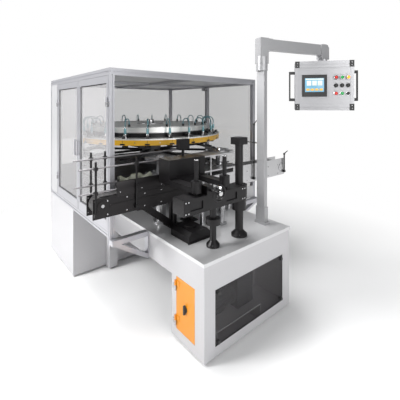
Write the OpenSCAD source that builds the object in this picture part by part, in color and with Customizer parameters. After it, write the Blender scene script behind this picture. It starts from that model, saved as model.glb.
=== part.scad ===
// Rotary leak testing machine: a turret of test heads over a round table, fed and emptied by
// two star wheels from a conveyor, on a sheet-metal base with a guard enclosure and a pendant.
// X runs along the conveyor, Y from the operator to the back, Z up from the floor.

/* [Base] */
// Width of the front cabinet along the conveyor
cabinet_w = 965; // [900:5:1050]
// Depth of the front cabinet
cabinet_d = 370; // [330:5:420]
// Height of the table top above the floor
table_h = 675; // [640:5:720]
// Thickness of the table top plate
plate_t = 25; // [15:1:30]
// Overhang of the table top past the cabinet
plate_lip = 6; // [2:1:10]
// Thickness of the sheet-metal panels
sheet_t = 3; // [2:0.5:4]
// Gap under the cabinets for the levelling feet
foot_h = 14; // [10:1:30]
// Height of the side skirts of the bridge
skirt_h = 190; // [140:5:240]
// Side of the square legs under the bridge
leg_w = 90; // [60:5:100]
// How far the rear base reaches past the front cabinet on the infeed side
rear_reach = 320; // [300:5:340]
// Width of the rear base and the enclosure
rear_w = 1744; // [1734:2:1800]
// Distance from the front cabinet's face to the rear base
rear_y = 1624; // [1612:2:1640]
// Depth of the rear base
rear_d = 821; // [811:2:860]

/* [Window and service door] */
// Distance of the window from the sides of the cabinet
window_side = 98; // [60:2:140]
// Lower edge of the window and of the service door
window_z = 82; // [60:2:120]
// Height of the window and of the service door
window_h = 384; // [320:4:420]
// Thickness of the clear window
window_t = 6; // [4:1:8]
// Width of the service door opening
service_w = 216; // [180:4:250]
// Radius of the window's clamp knobs
knob_r = 14; // [10:1:18]

/* [Enclosure] */
// Distance from the front cabinet's face to the enclosure's front
guard_y = 750; // [746:1:760]
// Top of the enclosure above the floor
guard_top = 2010; // [1900:5:2100]
// Side of the square profile posts
post_w = 40; // [30:2:45]
// Height of the sill profiles
sill_h = 45; // [40:1:60]
// Height of the roof profiles
beam_h = 58; // [40:2:70]
// Width of the slots in the profiles
slot_w = 8; // [6:1:10]
// Depth of the slots in the profiles
slot_d = 5; // [4:0.5:8]
// Thickness of the clear panes
pane_t = 6; // [4:1:6]
// Thickness of the door frames
door_t = 30; // [24:1:36]
// Width of the door stiles
stile_w = 22; // [16:1:30]
// Running gap round the doors
door_gap = 2; // [1:0.5:3]
// Height of the door's bottom rail
kick_rail_h = 83; // [50:1:100]
// Height of the door's top rail
head_rail_h = 58; // [40:1:70]
// Width of the closed panel behind the rear door
closed_w = 215; // [150:5:260]

/* [Turret] */
// Number of test stations
stations = 22; // [20:2:24]
// Radius of the circle on which the containers travel
pitch_r = 740; // [730:1:745]
// How far the yellow rim reaches past the circle of the containers
rim_reach = 65; // [60:1:68]
// Thickness of the yellow rim
rim_t = 15; // [8:1:20]
// Height of the yellow rim
rim_h = 48; // [40:1:60]
// Thickness of the head plate
head_plate_t = 12; // [8:1:16]
// Height from the belt to the rim's lower edge
rim_clear = 292; // [285:1:320]
// How far the air drum stays inside the circle of the containers
drum_set = 74; // [70:1:100]
// Height of the air drum
drum_h = 58; // [40:1:70]
// Radius of the hose loops
hose_loop_r = 50; // [40:1:54]
// Radius of an air hose
hose_r = 5; // [3:0.5:7]
// Radius of the centre post that the turret turns on
spindle_r = 90; // [70:1:100]

/* [Transfer] */
// Radius of the containers that the pockets are cut for
container_r = 50; // [45:1:50]
// Number of pockets in a star wheel
pockets = 4; // [4:1:5]
// Thickness of the star plates
star_t = 12; // [8:1:14]
// Height of the lower star plate above the belt
star_low = 45; // [42:1:50]
// Height of the upper star plate above the belt
star_high = 185; // [175:1:190]
// Radius of a star wheel's shaft
star_shaft_r = 15; // [10:1:18]
// Length of the timing screw
screw_len = 280; // [200:5:300]
// Outer radius of the timing screw
screw_r = 38; // [32:1:40]
// Depth of the timing screw's groove
screw_groove = 24; // [16:1:26]

/* [Conveyor] */
// Height of the belt above the floor
belt_z = 1055; // [1020:5:1080]
// Width of the conveyor over its side plates
conveyor_w = 130; // [120:1:136]
// Height of the conveyor's side plates below the belt
conveyor_h = 150; // [140:1:160]
// Width of the slat belt
belt_w = 82; // [70:1:90]
// Thickness of the slat belt
belt_t = 4; // [3:0.5:6]
// Reach of the infeed past the front cabinet
infeed_reach = 504; // [480:2:520]
// Reach of the guide rails past the infeed's end
rail_reach = 96; // [60:2:100]
// Reach of the outfeed past the front cabinet
outfeed_reach = 819; // [700:5:830]
// Height of the outfeed's side guards above the belt
guard_rise = 40; // [20:2:42]
// Radius of the guide rails
rail_r = 6; // [4:0.5:6]
// Radius of the upright rods that carry the rails
rail_post_r = 8; // [6:0.5:10]

/* [Guide head] */
// Radius of the left column
column_a_r = 25; // [20:1:30]
// Radius of the right column
column_b_r = 32; // [26:1:36]
// Top of the right column above the table
column_b_h = 785; // [700:5:800]
// Underside of the cross beam above the table
beam_rise = 300; // [280:2:310]
// Height of the cross beam
cross_h = 110; // [90:2:120]
// Width of the guide head's housing
head_w = 360; // [300:2:364]
// Depth of the guide head's housing
head_d = 150; // [120:2:150]
// Height of the guide head's housing
head_h = 190; // [150:2:200]
// Height adjustment of the guide head
head_travel = 80; // [40:2:80]
// Radius of the handwheel
wheel_r = 60; // [50:1:70]

/* [Pendant] */
// Pole thickness along the conveyor
pole_w = 40; // [36:1:50]
// Pole thickness across the conveyor
pole_d = 82; // [60:1:90]
// Top of the pole above the floor
pole_top = 2020; // [1900:5:2100]
// Arm length from the pole's axis to the box's axis
arm_len = 720; // [640:5:780]
// Height of the arm
arm_h = 104; // [80:2:110]
// Thickness of the arm
arm_w = 50; // [40:1:60]
// Angle of the arm from the conveyor's direction at rest
arm_angle = -16; // [-30:1:0]
// Angle of the control box from the conveyor's direction at rest
box_angle = -53; // [-60:1:-40]
// Width of the control box
box_w = 531; // [480:1:560]
// Height of the control box
box_h = 474; // [440:2:500]
// Depth of the control box
box_d = 160; // [120:2:200]
// Radius of a pushbutton's cap
button_r = 14; // [10:1:16]
// Travel of a pushbutton
button_travel = 5; // [3:0.5:6]

/* [Hidden] */
$fn = 48;

// General clearances
over = 1;
seat = 0.3;
run = 0.05;
soft_edge = 2;

// Base
under_top = table_h - plate_t;
rear_x0 = -rear_reach;
rear_x1 = rear_x0 + rear_w;
back_y = rear_y + rear_d;
fold_w = 15;
divider_inset = 5;
fold_gap = 2;
window_x0 = window_side;
window_x1 = cabinet_w - window_side;
window_top = window_z + window_h;
service_y0 = window_side;
service_y1 = service_y0 + service_w;
knob_inset = 26;
knob_h = 18;
knob_stud_r = 4;
leg_inset = 18;
cross_tube_w = 60;
cross_tube_share = [0.05, 0.35, 0.64, 0.88];
foot_r = 32;
foot_pad_h = 10;
foot_stud_r = 8;
foot_inset = 60;

// Enclosure
half_post = post_w / 2;
guard_x0 = rear_x0 + half_post;
guard_x1 = rear_x1 - half_post;
guard_y0 = guard_y + half_post;
guard_y1 = back_y - half_post;
sill_top = table_h + sill_h;
beam_z = guard_top - beam_h;
post_drop = 63;
post_foot_z = table_h - post_drop;
back_sheet_h = 225;
back_rail_z = sill_top + back_sheet_h;
back_rail_h = 55;
in_slot = slot_d - seat;
closed_y0 = back_y - post_w - closed_w;
rear_bay_w = 654;
left_mullion_y = closed_y0 - post_w - rear_bay_w - half_post;
right_bay_w = 751;
right_mullion_y = guard_y + post_w + right_bay_w + half_post;
hinge_r = 8;
hinge_pin_r = 4;
hinge_leaf_t = 3;
hinge_leaf_w = 30;
knuckle_h = 38;
hinge_inset_share = 0.17;
switch_size = [60, 34, 44];
closed_t = 6;
fascia_size = [216, 3, 130];

// Brackets under the overhanging corners of the enclosure
bracket_d = 50;
bracket_t = 10;
bracket_bar_h = 40;
bracket_drop = 205;
bracket_top = table_h - sheet_t;

// Turret
turret_x = 551;
turret_y = 1604;
station_angle = 360 / stations;
transfer_angle = 1.5 * station_angle;
turret_turn = station_angle / 2;
star_pitch_r = pitch_r * pockets / stations;
star_span = pitch_r + star_pitch_r;
star_y = turret_y - star_span * cos(transfer_angle);
infeed_star_x = turret_x - star_span * sin(transfer_angle);
outfeed_star_x = turret_x + star_span * sin(transfer_angle);
belt_y = star_y - star_pitch_r;
rim_r = pitch_r + rim_reach;
drum_r = pitch_r - drum_set;
rim_z = belt_z + rim_clear;
head_z = rim_z + rim_h;
deck_z = head_z + head_plate_t;
valve_ring_h = 42;
drum_z = deck_z + valve_ring_h;
drum_top = drum_z + drum_h;
drum_wall = 16;
drum_skin = 6;
drum_hole_r = 130;
knob_step = 34;
knob_circle_r = pitch_r + knob_step;
head_plate_set = 180;
head_inner_r = pitch_r - head_plate_set;
head_hole_r = 9;
head_body_r = 24;
head_body_h = 42;
head_top_h = 34;
cone_h = 30;
cone_r0 = 30;
cone_r1 = 20;
pad_t = 6;
pad_r = 44;
round_plate_t = 20;
round_plate_out = 60;
round_plate_r = pitch_r + round_plate_out;
hub_flange_t = 29;
shoulder_z = belt_z - pad_t - round_plate_t - hub_flange_t;
hub_r = 122;
hub_flange_r = 300;
spoke_w = 50;
spoke_h = 40;
spokes = 8;
union_r = 80;
union_h = 86;
guide_ring_rise = 140;
guide_ring_z = belt_z + guide_ring_rise;
guide_ring_t = 20;
guide_ring_out = 35;
guide_ring_set = 60;
guide_ring_r = pitch_r + guide_ring_out;
guide_ring_inner = pitch_r - guide_ring_set;
guide_arm_w = 40;
base_flange_r = 260;
base_flange_t = 25;
base_r = 200;
cam_set = 40;
cam_r = pitch_r - cam_set;
cam_w = 40;
cam_h = 20;
cam_arms = 6;
cam_arm_w = 60;
knob_skirt_r = 17;
knob_body_h = 26;
hose_rise = 6;
fitting_r = 11;
fitting_h = 24;

// Transfer
pocket_gap = 2;
pocket_r = container_r + pocket_gap;
star_past = 9.5;
star_r = star_pitch_r + star_past;
star_hub_r = 40;
star_cap_r = 46;
star_cap_h = 20;
pedestal_r = 45;
pedestal_flange_r = 70;
pedestal_flange_t = 15;
star_turn = -turret_turn * stations / pockets;
guide_slack = 3;
guide_arc_r = star_pitch_r + container_r + guide_slack;
transfer_t = 10;
transfer_side = 100;
guide_front = 89;
guide_rod_r = 8;
screw_space = 13.5;
screw_x1 = infeed_star_x - star_r - screw_space;
screw_x0 = screw_x1 - screw_len;
screw_y = belt_y + container_r + screw_r - screw_groove;
screw_rise = 65;
screw_z = belt_z + screw_rise;
screw_shaft_r = 10;
screw_shaft_len = 18;
screw_bearing_wall = 3;
bearing_r = screw_shaft_r + screw_bearing_wall;
screw_rings = 56;
screw_sides = 24;
screw_pitch_share = [0.55, 1];

// Conveyor
conveyor_y0 = belt_y - conveyor_w / 2;
conveyor_y1 = belt_y + conveyor_w / 2;
conveyor_z0 = belt_z - conveyor_h;
side_t = 10;
guard_t = 4;
loop_r = 62;
roller_z = belt_z - loop_r;
roller_r = loop_r - belt_t - seat;
axle_r = 12;
axle_out = 6;
end_gap = 8;
joint_hole_r = 4.5;
joint_hole_inset = 6;
joint_hole_share = [0.14, 0.86];
infeed_x0 = -infeed_reach;
infeed_x1 = 470;
outfeed_x0 = 640;
outfeed_x1 = cabinet_w + outfeed_reach;
bed_t = 8;
tie_t = 8;
tie_w = 80;
boss_r = 38;
boss_t = 5;
groove_strip_h = 25;
groove_strip_t = 4;
support_tube_r = 18;
support_spread = 58;
support_foot = [120, 120, 10];
infeed_support_share = [0.47, 0.85];
strut_w = 52;
strut_reach = 300;
rail_slack = 2;
front_rail_y = belt_y - container_r - rail_r - rail_slack;
back_rail_y = belt_y + container_r + rail_r + rail_slack;
front_rail_z_share = [0.16, 0.85];
back_rail_z_share = [0.26, 1.04];
rail_span = 250;
clamp_w = 24;
arm_bar_r = 5;
infeed_post_share = [0.03, 0.66];
side_post_x = 1218;
end_post_inset = 16;
end_post_x = outfeed_x1 - end_post_inset;
side_post_share = 1.8;
cross_bar_share = 1.06;
side_post_top = belt_z + side_post_share * rail_span;
end_post_top = belt_z + 2 * guard_rise;
cross_bar_z = belt_z + cross_bar_share * rail_span;
front_post_y = conveyor_y0 - rail_post_r - clamp_w / 4;

// Guide head and its columns
column_a = [218, 153];
column_b = [507, 158];
flange_h = 30;
flange_share = 2;
collar_h = 45;
cross_z0 = table_h + beam_rise;
cross_z1 = cross_z0 + cross_h;
cross_x0 = -100;
cross_y0 = 90;
cross_d = 125;
clamp_r = 56;
rod_r = 16;
rod_x_share = [0.26, 0.72];
rod_h = 250;
head_x0 = 20;
head_space = 29;
head_y1 = conveyor_y0 - head_space;
head_lift = 15;
arm_plate_t = 40;
arm_plate_w = 40;
tower_x = 241;
tower_r = 12;
tower_block = [100, 56, 86];
wheel_x = 135;
wheel_boss = 60;
wheel_out = 90;
rim_bar_r = 7;
wheel_hub_r = 16;
wheel_shaft_r = 9;
crank_len = 55;
crank_r = 9;

// Drive, fittings and table units
motor_x0 = 150;
motor_len = 270;
motor_r = 82;
motor_y_share = 0.52;
motor_z = 240;
fins = 24;
fin_t = 4;
fin_h = 9;
gear_case = [180, 190, 230];
shelf_t = 8;
shelf_z = 140;
conduit_r = 30;
gearbox_x0 = 95;
gearbox_y0 = 285;
gearbox_size = [215, 235, 78];
gearbox_chamfer = 30;
cylinder_a = [343, 425];
cylinder_b = [557, 412];
cylinder_r_share = [16, 27];

// Pendant
pole_inset = 118;
pole_x = cabinet_w - pole_inset;
pole_y = 198;
pole_wall = 4;
pole_flange = [60, 116, 22];
pole_sleeve = [50, 94, 128];
joint_h = 62;
joint_r = 50;
pivot_r = 20;
elbow_rise = 60;
arm_z0 = pole_top + 2 * joint_h + elbow_rise;
arm_sleeve = 3;
arm_x = pole_x + arm_len * cos(arm_angle);
arm_y = pole_y + arm_len * sin(arm_angle);
box_hang = 62;
box_top = arm_z0 - box_hang;
box_z0 = box_top - box_h;
neck_h = 22;
neck_r = 42;
drop_w = 92;
drop_d = 76;
edge_w = 34;
edge_lip = 6;
box_skin = 3;
corner_w = 42;
corner_h = 62;
grip_out = 52;
grip_share = 0.62;
grip_t = 14;
bezel = [226, 210, 8];
bezel_x_share = -0.165;
bezel_z_share = 0.50;
control_x_share = [0.2, 0.3, 0.4];
control_z_share = [0.66, 0.5, 0.34];
control_collar_wall = 5;
control_collar_r = button_r + control_collar_wall;
control_collar_h = 8;
cap_h = 10;
stem_r = 8;
stem_len = 20;
face_y = -box_d / 2;
lever_r = 6;
lever_len = 60;
lever_pin_r = 4;
lever_tilt = 50;

// Outline of the whole machine, which sets the origin
box_turn_x = abs(cos(box_angle)) * (box_w / 2 + grip_out) + abs(sin(box_angle)) * grip_t / 2;
grip_turn_y = abs(sin(box_angle)) * (box_w / 2 + grip_out) + abs(cos(box_angle)) * grip_t / 2;
corner_turn_y = abs(sin(box_angle)) * box_w / 2 + abs(cos(box_angle)) * (box_d / 2 + edge_lip);
box_turn_y = max(grip_turn_y, corner_turn_y);
site_x0 = infeed_x0 - rail_reach;
site_x1 = max(outfeed_x1, arm_x + box_turn_x);
site_y0 = arm_y - box_turn_y;
site_x = (site_x0 + site_x1) / 2;
site_y = (site_y0 + back_y) / 2;

// Shared shapes
module at_site() translate([-site_x, -site_y, 0]) children();

module block(low, high) translate(low) cube(high - low);

module rod_x(x0, x1, y, z, r) translate([x0, y, z]) rotate([0, 90, 0]) cylinder(r = r, h = x1 - x0);

module rod_y(x, y0, y1, z, r) translate([x, y0, z]) rotate([-90, 0, 0]) cylinder(r = r, h = y1 - y0);

module rod_z(x, y, z0, z1, r) translate([x, y, z0]) cylinder(r = r, h = z1 - z0);

module ring(r0, r1, h) difference() {
  cylinder(r = r1, h = h, $fn = 128);
  translate([0, 0, -over]) cylinder(r = r0, h = h + 2 * over, $fn = 128);
}

module at_turret() translate([turret_x, turret_y, 0]) children();

module each_station(r, z) for (i = [0:stations - 1])
  rotate([0, 0, transfer_angle - 90 + turret_turn + i * station_angle]) translate([r, 0, z]) children();

module profile_section(w, h) difference() {
  square([w, h], center = true);
  for (side = [-1, 1]) {
    translate([side * w / 2, 0]) square([2 * slot_d, slot_w], center = true);
    translate([0, side * h / 2]) square([slot_w, 2 * slot_d], center = true);
  }
}

module profile_z(x, y, z0, z1) translate([x, y, z0])
  linear_extrude(z1 - z0) profile_section(post_w, post_w);

module profile_x(x0, x1, y, z, h) translate([x0, y, z + h / 2]) rotate([0, 90, 0])
  linear_extrude(x1 - x0) profile_section(h, post_w);

module profile_y(x, y0, y1, z, h) translate([x, y0, z + h / 2]) rotate([-90, 0, 0])
  linear_extrude(y1 - y0) profile_section(post_w, h);

module prism_y(y0, y1, points) translate([0, y1, 0]) rotate([90, 0, 0])
  linear_extrude(y1 - y0) polygon(points);

// Front cabinet: welded panels, open for the window and the service door
module front_cabinet() color("whitesmoke") at_site() {
  inner = [cabinet_w - sheet_t, cabinet_d - sheet_t, under_top];
  block([0, 0, foot_h], [cabinet_w, cabinet_d, foot_h + sheet_t]);
  difference() {
    block([0, 0, foot_h + sheet_t], [cabinet_w, sheet_t, under_top]);
    block([window_x0, -over, window_z], [window_x1, sheet_t + over, window_top]);
  }
  difference() {
    union() {
      block([0, sheet_t, foot_h + sheet_t], [sheet_t, inner.y, under_top]);
      block([sheet_t, service_y0 - sheet_t, window_z - sheet_t],
            [sheet_t + fold_w, service_y1 + sheet_t, window_top + sheet_t]);
    }
    block([-over, service_y0, window_z], [sheet_t + fold_w + over, service_y1, window_top]);
  }
  block([inner.x, sheet_t, foot_h + sheet_t], [cabinet_w, inner.y, under_top]);
  block([0, inner.y, foot_h + sheet_t], [cabinet_w, cabinet_d, under_top]);
  block([window_x0 - divider_inset - sheet_t, sheet_t, foot_h + sheet_t],
        [window_x0 - divider_inset, inner.y, under_top]);
}

// Clear window behind the front panel
module window_panel() color("dimgray", 0.5) at_site() difference() {
  block([window_x0 - divider_inset + seat, sheet_t, window_z - fold_w],
        [window_x1 + fold_w, sheet_t + window_t, window_top + fold_w]);
  each_window_corner() translate([0, -over, 0]) rotate([-90, 0, 0])
    cylinder(r = knob_stud_r + run, h = sheet_t + window_t + 2 * over);
}

module each_window_corner() for (x = [window_x0 + knob_inset, window_x1 - knob_inset])
  for (z = [window_z + knob_inset, window_top - knob_inset]) translate([x, 0, z]) children();

// Clamp knobs at the window's corners
module window_knobs() color("black") at_site() each_window_corner() rotate([-90, 0, 0]) {
  translate([0, 0, sheet_t - knob_h]) cylinder(r1 = knob_r - soft_edge, r2 = knob_r, h = knob_h);
  cylinder(r = knob_stud_r, h = sheet_t + window_t + fold_gap);
  translate([0, 0, sheet_t + window_t]) cylinder(r = knob_stud_r + fold_gap, h = fold_gap);
}

// Geared motor on its shelf in the cabinet
module gear_motor() color("darkslategray") at_site() {
  y = cabinet_d * motor_y_share;
  motor_x1 = motor_x0 + motor_len;
  case_z0 = shelf_z + shelf_t;
  difference() {
    rod_x(motor_x0, motor_x1, y, motor_z, motor_r);
    for (i = [0:fins - 1]) translate([0, y, motor_z]) rotate([i * 360 / fins, 0, 0])
      block([motor_x0 + motor_len / 4, -fin_t, motor_r - fin_h],
            [motor_x1 - motor_len / 8, fin_t, motor_r + over]);
  }
  block([motor_x0 + motor_len / 3, y - motor_r / 2, case_z0],
        [motor_x1 - motor_len / 3, y + motor_r / 2, motor_z - motor_r / 2]);
  block([motor_x0 + motor_len / 3, y - motor_r / 2, motor_z + motor_r / 2],
        [motor_x0 + 2 * motor_len / 3, y + motor_r / 2, motor_z + motor_r + fold_w]);
  block([motor_x1, y - gear_case.y / 2, case_z0], [motor_x1 + gear_case.x, y + gear_case.y / 2, case_z0 + gear_case.z]);
  rod_z(motor_x1 + gear_case.x / 2, y, case_z0 + gear_case.z, case_z0 + gear_case.z + fold_w, motor_r);
  rod_z(motor_x1 + gear_case.x / 2, y, case_z0 + gear_case.z, under_top, conduit_r / 2);
}

// Motor shelf, its uprights, the cable riser and the terminal rails behind the service door
module cabinet_fittings() color("gainsboro") at_site() {
  y0 = sheet_t + window_t + fold_w + fold_gap;
  y1 = cabinet_d - sheet_t;
  shelf_x0 = motor_x0 - fold_w;
  shelf_x1 = motor_x0 + motor_len + gear_case.x + fold_w;
  block([shelf_x0, y0, shelf_z], [shelf_x1, y1, shelf_z + shelf_t]);
  for (x = [shelf_x0, shelf_x1 - shelf_t]) block([x, y0, foot_h + sheet_t], [x + shelf_t, y1, shelf_z]);
  rod_z(window_x1 - 2 * conduit_r, y1 - 2 * conduit_r, foot_h + sheet_t, under_top, conduit_r);
  wall_x = window_x0 - divider_inset - sheet_t;
  for (share = [0.3, 0.55, 0.8]) {
    z = window_z + share * window_h;
    block([wall_x - fold_w / 2, service_y0, z], [wall_x, service_y1, z + 2 * fold_w]);
    for (i = [0:5]) translate([0, service_y0 + (i + 0.25) * service_w / 6, 0])
      block([wall_x - 3 * fold_w, 0, z - fold_w / 2], [wall_x - fold_w / 2, service_w / 9, z + 2.5 * fold_w]);
  }
}

// Table top over the cabinet and the bridge
module table_top() color("silver") at_site()
  block([-plate_lip, -plate_lip, under_top], [cabinet_w + plate_lip, rear_y, table_h]);

// Bridge between the cabinets: side skirts, cross tubes and two legs
module bridge_body() color("whitesmoke") at_site() {
  z0 = under_top - skirt_h;
  span = rear_y - cabinet_d;
  for (x = [0, cabinet_w - 2 * sheet_t]) block([x, cabinet_d, z0], [x + 2 * sheet_t, rear_y, under_top]);
  for (share = cross_tube_share) {
    y = cabinet_d + share * span;
    difference() {
      block([2 * sheet_t, y - cross_tube_w / 2, under_top - cross_tube_w],
            [cabinet_w - 2 * sheet_t, y + cross_tube_w / 2, under_top]);
      block([0, y - cross_tube_w / 2 + sheet_t, under_top - cross_tube_w + sheet_t],
            [cabinet_w, y + cross_tube_w / 2 - sheet_t, under_top - sheet_t]);
    }
  }
  for (x = [leg_inset, cabinet_w - leg_inset - leg_w])
    block([x, rear_y - leg_w - sheet_t, foot_h], [x + leg_w, rear_y - sheet_t, under_top]);
}

// Rear base: welded panels, a floor and a top deck
module rear_cabinet() color("whitesmoke") at_site() {
  side_z0 = foot_h + sheet_t;
  block([rear_x0, rear_y, foot_h], [rear_x1, back_y, side_z0]);
  block([rear_x0, rear_y, under_top], [rear_x1, back_y, table_h]);
  for (y = [rear_y, back_y - sheet_t]) block([rear_x0, y, side_z0], [rear_x1, y + sheet_t, under_top]);
  for (x = [rear_x0, rear_x1 - sheet_t])
    block([x, rear_y + sheet_t, side_z0], [x + sheet_t, back_y - sheet_t, under_top]);
}

// Levelling feet under both cabinets and the legs
module levelling_feet() color("dimgray") at_site() {
  rear_feet = [rear_x0 + foot_inset, (rear_x0 + rear_x1) / 2, rear_x1 - foot_inset];
  for (x = [foot_inset, cabinet_w - foot_inset]) for (y = [foot_inset, cabinet_d - foot_inset])
    levelling_foot(x, y);
  for (x = rear_feet) for (y = [rear_y + foot_inset, back_y - foot_inset]) levelling_foot(x, y);
  for (x = [leg_inset + leg_w / 2, cabinet_w - leg_inset - leg_w / 2])
    levelling_foot(x, rear_y - sheet_t - leg_w / 2);
}

module levelling_foot(x, y) {
  translate([x, y, 0]) cylinder(r1 = foot_r, r2 = foot_r - soft_edge, h = foot_pad_h);
  rod_z(x, y, foot_pad_h, foot_h, foot_stud_r);
}

// Enclosure frame: slotted posts, sills, roof beams and the back rail
module enclosure_frame() color("gainsboro") at_site() {
  for (x = [guard_x0, guard_x1]) {
    profile_z(x, guard_y0, post_foot_z, beam_z);
    profile_z(x, guard_y1, table_h, beam_z);
    profile_y(x, guard_y + post_w, guard_y1 - half_post, table_h, sill_h);
    profile_y(x, guard_y, back_y, beam_z, beam_h);
  }
  profile_z(guard_x0, left_mullion_y, sill_top, beam_z);
  profile_z(guard_x0, closed_y0 - half_post, sill_top, beam_z);
  profile_z(guard_x1, right_mullion_y, sill_top, beam_z);
  inner_x0 = guard_x0 + half_post;
  inner_x1 = guard_x1 - half_post;
  profile_x(inner_x0, inner_x1, guard_y1, table_h, sill_h);
  profile_x(inner_x0, inner_x1, guard_y1, back_rail_z, back_rail_h);
  for (y = [guard_y0, turret_y, guard_y1]) profile_x(inner_x0, inner_x1, y, beam_z, beam_h);
  profile_y(turret_x, guard_y + post_w, turret_y - half_post, beam_z, beam_h);
  profile_y(turret_x, turret_y + half_post, guard_y1 - half_post, beam_z, beam_h);
}

// Clear panes set in the slots of the back and the right side
module fixed_panes() color("lightgray", 0.4) at_site() {
  back_low = back_rail_z + back_rail_h - in_slot;
  block([rear_x0 + post_w - in_slot, guard_y1 - pane_t / 2, back_low],
        [rear_x1 - post_w + in_slot, guard_y1 + pane_t / 2, beam_z - seat]);
  block([rear_x0 + post_w + seat, guard_y1 - pane_t / 2, beam_z - seat],
        [rear_x1 - post_w - seat, guard_y1 + pane_t / 2, beam_z + in_slot]);
  for (span = [[guard_y + post_w, right_mullion_y - half_post], [right_mullion_y + half_post, back_y - post_w]])
    block([guard_x1 - pane_t / 2, span[0] - in_slot, sill_top - in_slot],
          [guard_x1 + pane_t / 2, span[1] + in_slot, beam_z + in_slot]);
}

// Roof sheets, the lower back sheet, the closed side panel and the outfeed corner sheet
module sheet_panels() color("lightgray") at_site() {
  roof_z = beam_z + beam_h / 2;
  inner_x0 = rear_x0 + post_w - in_slot;
  inner_x1 = rear_x1 - post_w + in_slot;
  for (xs = [[inner_x0, turret_x - half_post + in_slot], [turret_x + half_post - in_slot, inner_x1]])
    for (ys = [[guard_y + post_w - in_slot, turret_y - half_post + in_slot],
               [turret_y + half_post - in_slot, back_y - post_w + in_slot]])
      block([xs[0], ys[0], roof_z - pane_t / 2], [xs[1], ys[1], roof_z + pane_t / 2]);
  block([inner_x0, guard_y1 - pane_t / 2, sill_top - in_slot], [inner_x1, guard_y1 + pane_t / 2, back_rail_z + in_slot]);
  block([rear_x0, closed_y0, sill_top], [rear_x0 + closed_t, back_y - post_w, beam_z]);
  block([rear_x1 - post_w - fascia_size.x, guard_y, table_h],
        [rear_x1 - post_w, guard_y + fascia_size.y, table_h + fascia_size.z]);
}

// Triangular brackets that carry the enclosure's front corners from the bridge
module corner_brackets() color("silver") at_site() {
  corner_bracket();
  translate([cabinet_w, 0, 0]) mirror([1, 0, 0]) corner_bracket_to(rear_x1 - cabinet_w);
}

module corner_bracket() corner_bracket_to(rear_reach);

module corner_bracket_to(reach) {
  y0 = guard_y - bracket_d;
  bar_z = bracket_top - bracket_bar_h;
  plate_z = bracket_top - bracket_drop - bracket_bar_h / 2;
  block([-bracket_t, y0, plate_z], [0, guard_y, under_top - seat]);
  block([-reach, y0, bar_z], [-bracket_t, guard_y, bracket_top]);
  prism_y(y0, guard_y, [
    [-reach + bracket_t, bar_z],
    [-reach + bracket_t + 1.6 * bracket_bar_h, bar_z],
    [-bracket_t, plate_z + bracket_bar_h],
    [-bracket_t, plate_z]
  ]);
}

// Fixed halves of the door hinges and the guard switch over the outfeed side's mullion
module door_hardware() color("gray") at_site() {
  for (z = hinge_heights()) {
    fixed_hinge(rear_x0, guard_y + post_w + door_gap / 2, z, 1);
    fixed_hinge(rear_x0, closed_y0 - post_w - door_gap / 2, z, -1);
  }
  for (z = service_hinge_heights()) fixed_hinge(0, service_y1, z, -1);
  block([rear_x1 - post_w - switch_size.x, right_mullion_y - switch_size.y / 2, beam_z - switch_size.z],
        [rear_x1 - post_w, right_mullion_y + switch_size.y / 2, beam_z]);
}

function door_z0() = sill_top + door_gap;
function door_z1() = beam_z - door_gap;
function hinge_heights() = [for (share = [hinge_inset_share, 1 - hinge_inset_share])
  door_z0() + share * (door_z1() - door_z0()) - knuckle_h];
function service_hinge_heights() = [for (share = [hinge_inset_share, 1 - hinge_inset_share])
  window_z + share * window_h - knuckle_h];

// One hinge half: the leaf lies on the face, the knuckle stands in front of the gap
module fixed_hinge(x, y, z, side) {
  hinge_half(x, y, z, -side, knuckle_h, 2 * knuckle_h);
  rod_z(x - hinge_r, y, z + knuckle_h, z + 2 * knuckle_h, hinge_pin_r);
}

module moving_hinge(x, y, z, side) difference() {
  hinge_half(x, y, z + knuckle_h + seat, side, knuckle_h - seat, knuckle_h - seat);
  rod_z(x - hinge_r, y, z + knuckle_h, z + 2 * knuckle_h + over, hinge_pin_r + run);
}

module hinge_half(x, y, z, side, barrel_h, leaf_h) {
  rod_z(x - hinge_r, y, z, z + barrel_h, hinge_r);
  translate([x, y, z]) scale([1, side, 1]) {
    block([-hinge_leaf_t, 0, 0], [0, hinge_r, barrel_h]);
    block([-hinge_leaf_t, hinge_r, 0], [0, hinge_r + hinge_leaf_w, min(leaf_h, barrel_h)]);
  }
}

// Pole of the pendant with its foot flange and sleeve
module pole() color("silver") at_site() translate([pole_x, pole_y, table_h]) {
  centred(pole_flange);
  translate([0, 0, pole_flange.z]) difference() {
    centred(pole_sleeve);
    translate([0, 0, -over]) centred([pole_w, pole_d, pole_sleeve.z + 2 * over]);
  }
  translate([0, 0, pole_flange.z]) difference() {
    centred([pole_w, pole_d, pole_top - table_h - pole_flange.z]);
    translate([0, 0, -over])
      centred([pole_w - 2 * pole_wall, pole_d - 2 * pole_wall, pole_top - table_h - pole_flange.z - pole_wall + over]);
  }
  translate([0, 0, pole_top - table_h]) {
    cylinder(r = joint_r, h = joint_h);
    cylinder(r = pivot_r, h = 2 * joint_h - pole_wall);
  }
}

module centred(size) translate([-size.x / 2, -size.y / 2, 0]) cube(size);

// Conveyor frame parts
module belt_outline(x0, x1, r) {
  translate([x0, roller_z]) circle(r = r, $fn = 96);
  translate([x1, roller_z]) circle(r = r, $fn = 96);
  translate([x0, roller_z - r]) square([x1 - x0, 2 * r]);
}

module belt_loop(x0, x1) translate([0, belt_y + belt_w / 2, 0]) rotate([90, 0, 0]) linear_extrude(belt_w)
  difference() {
    belt_outline(x0, x1, loop_r);
    belt_outline(x0, x1, loop_r - belt_t);
  }

function infeed_ends() = [infeed_x0 + loop_r + end_gap, infeed_x1 - loop_r - end_gap];
function outfeed_ends() = [outfeed_x0 + loop_r + end_gap, outfeed_x1 - loop_r - end_gap];

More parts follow.
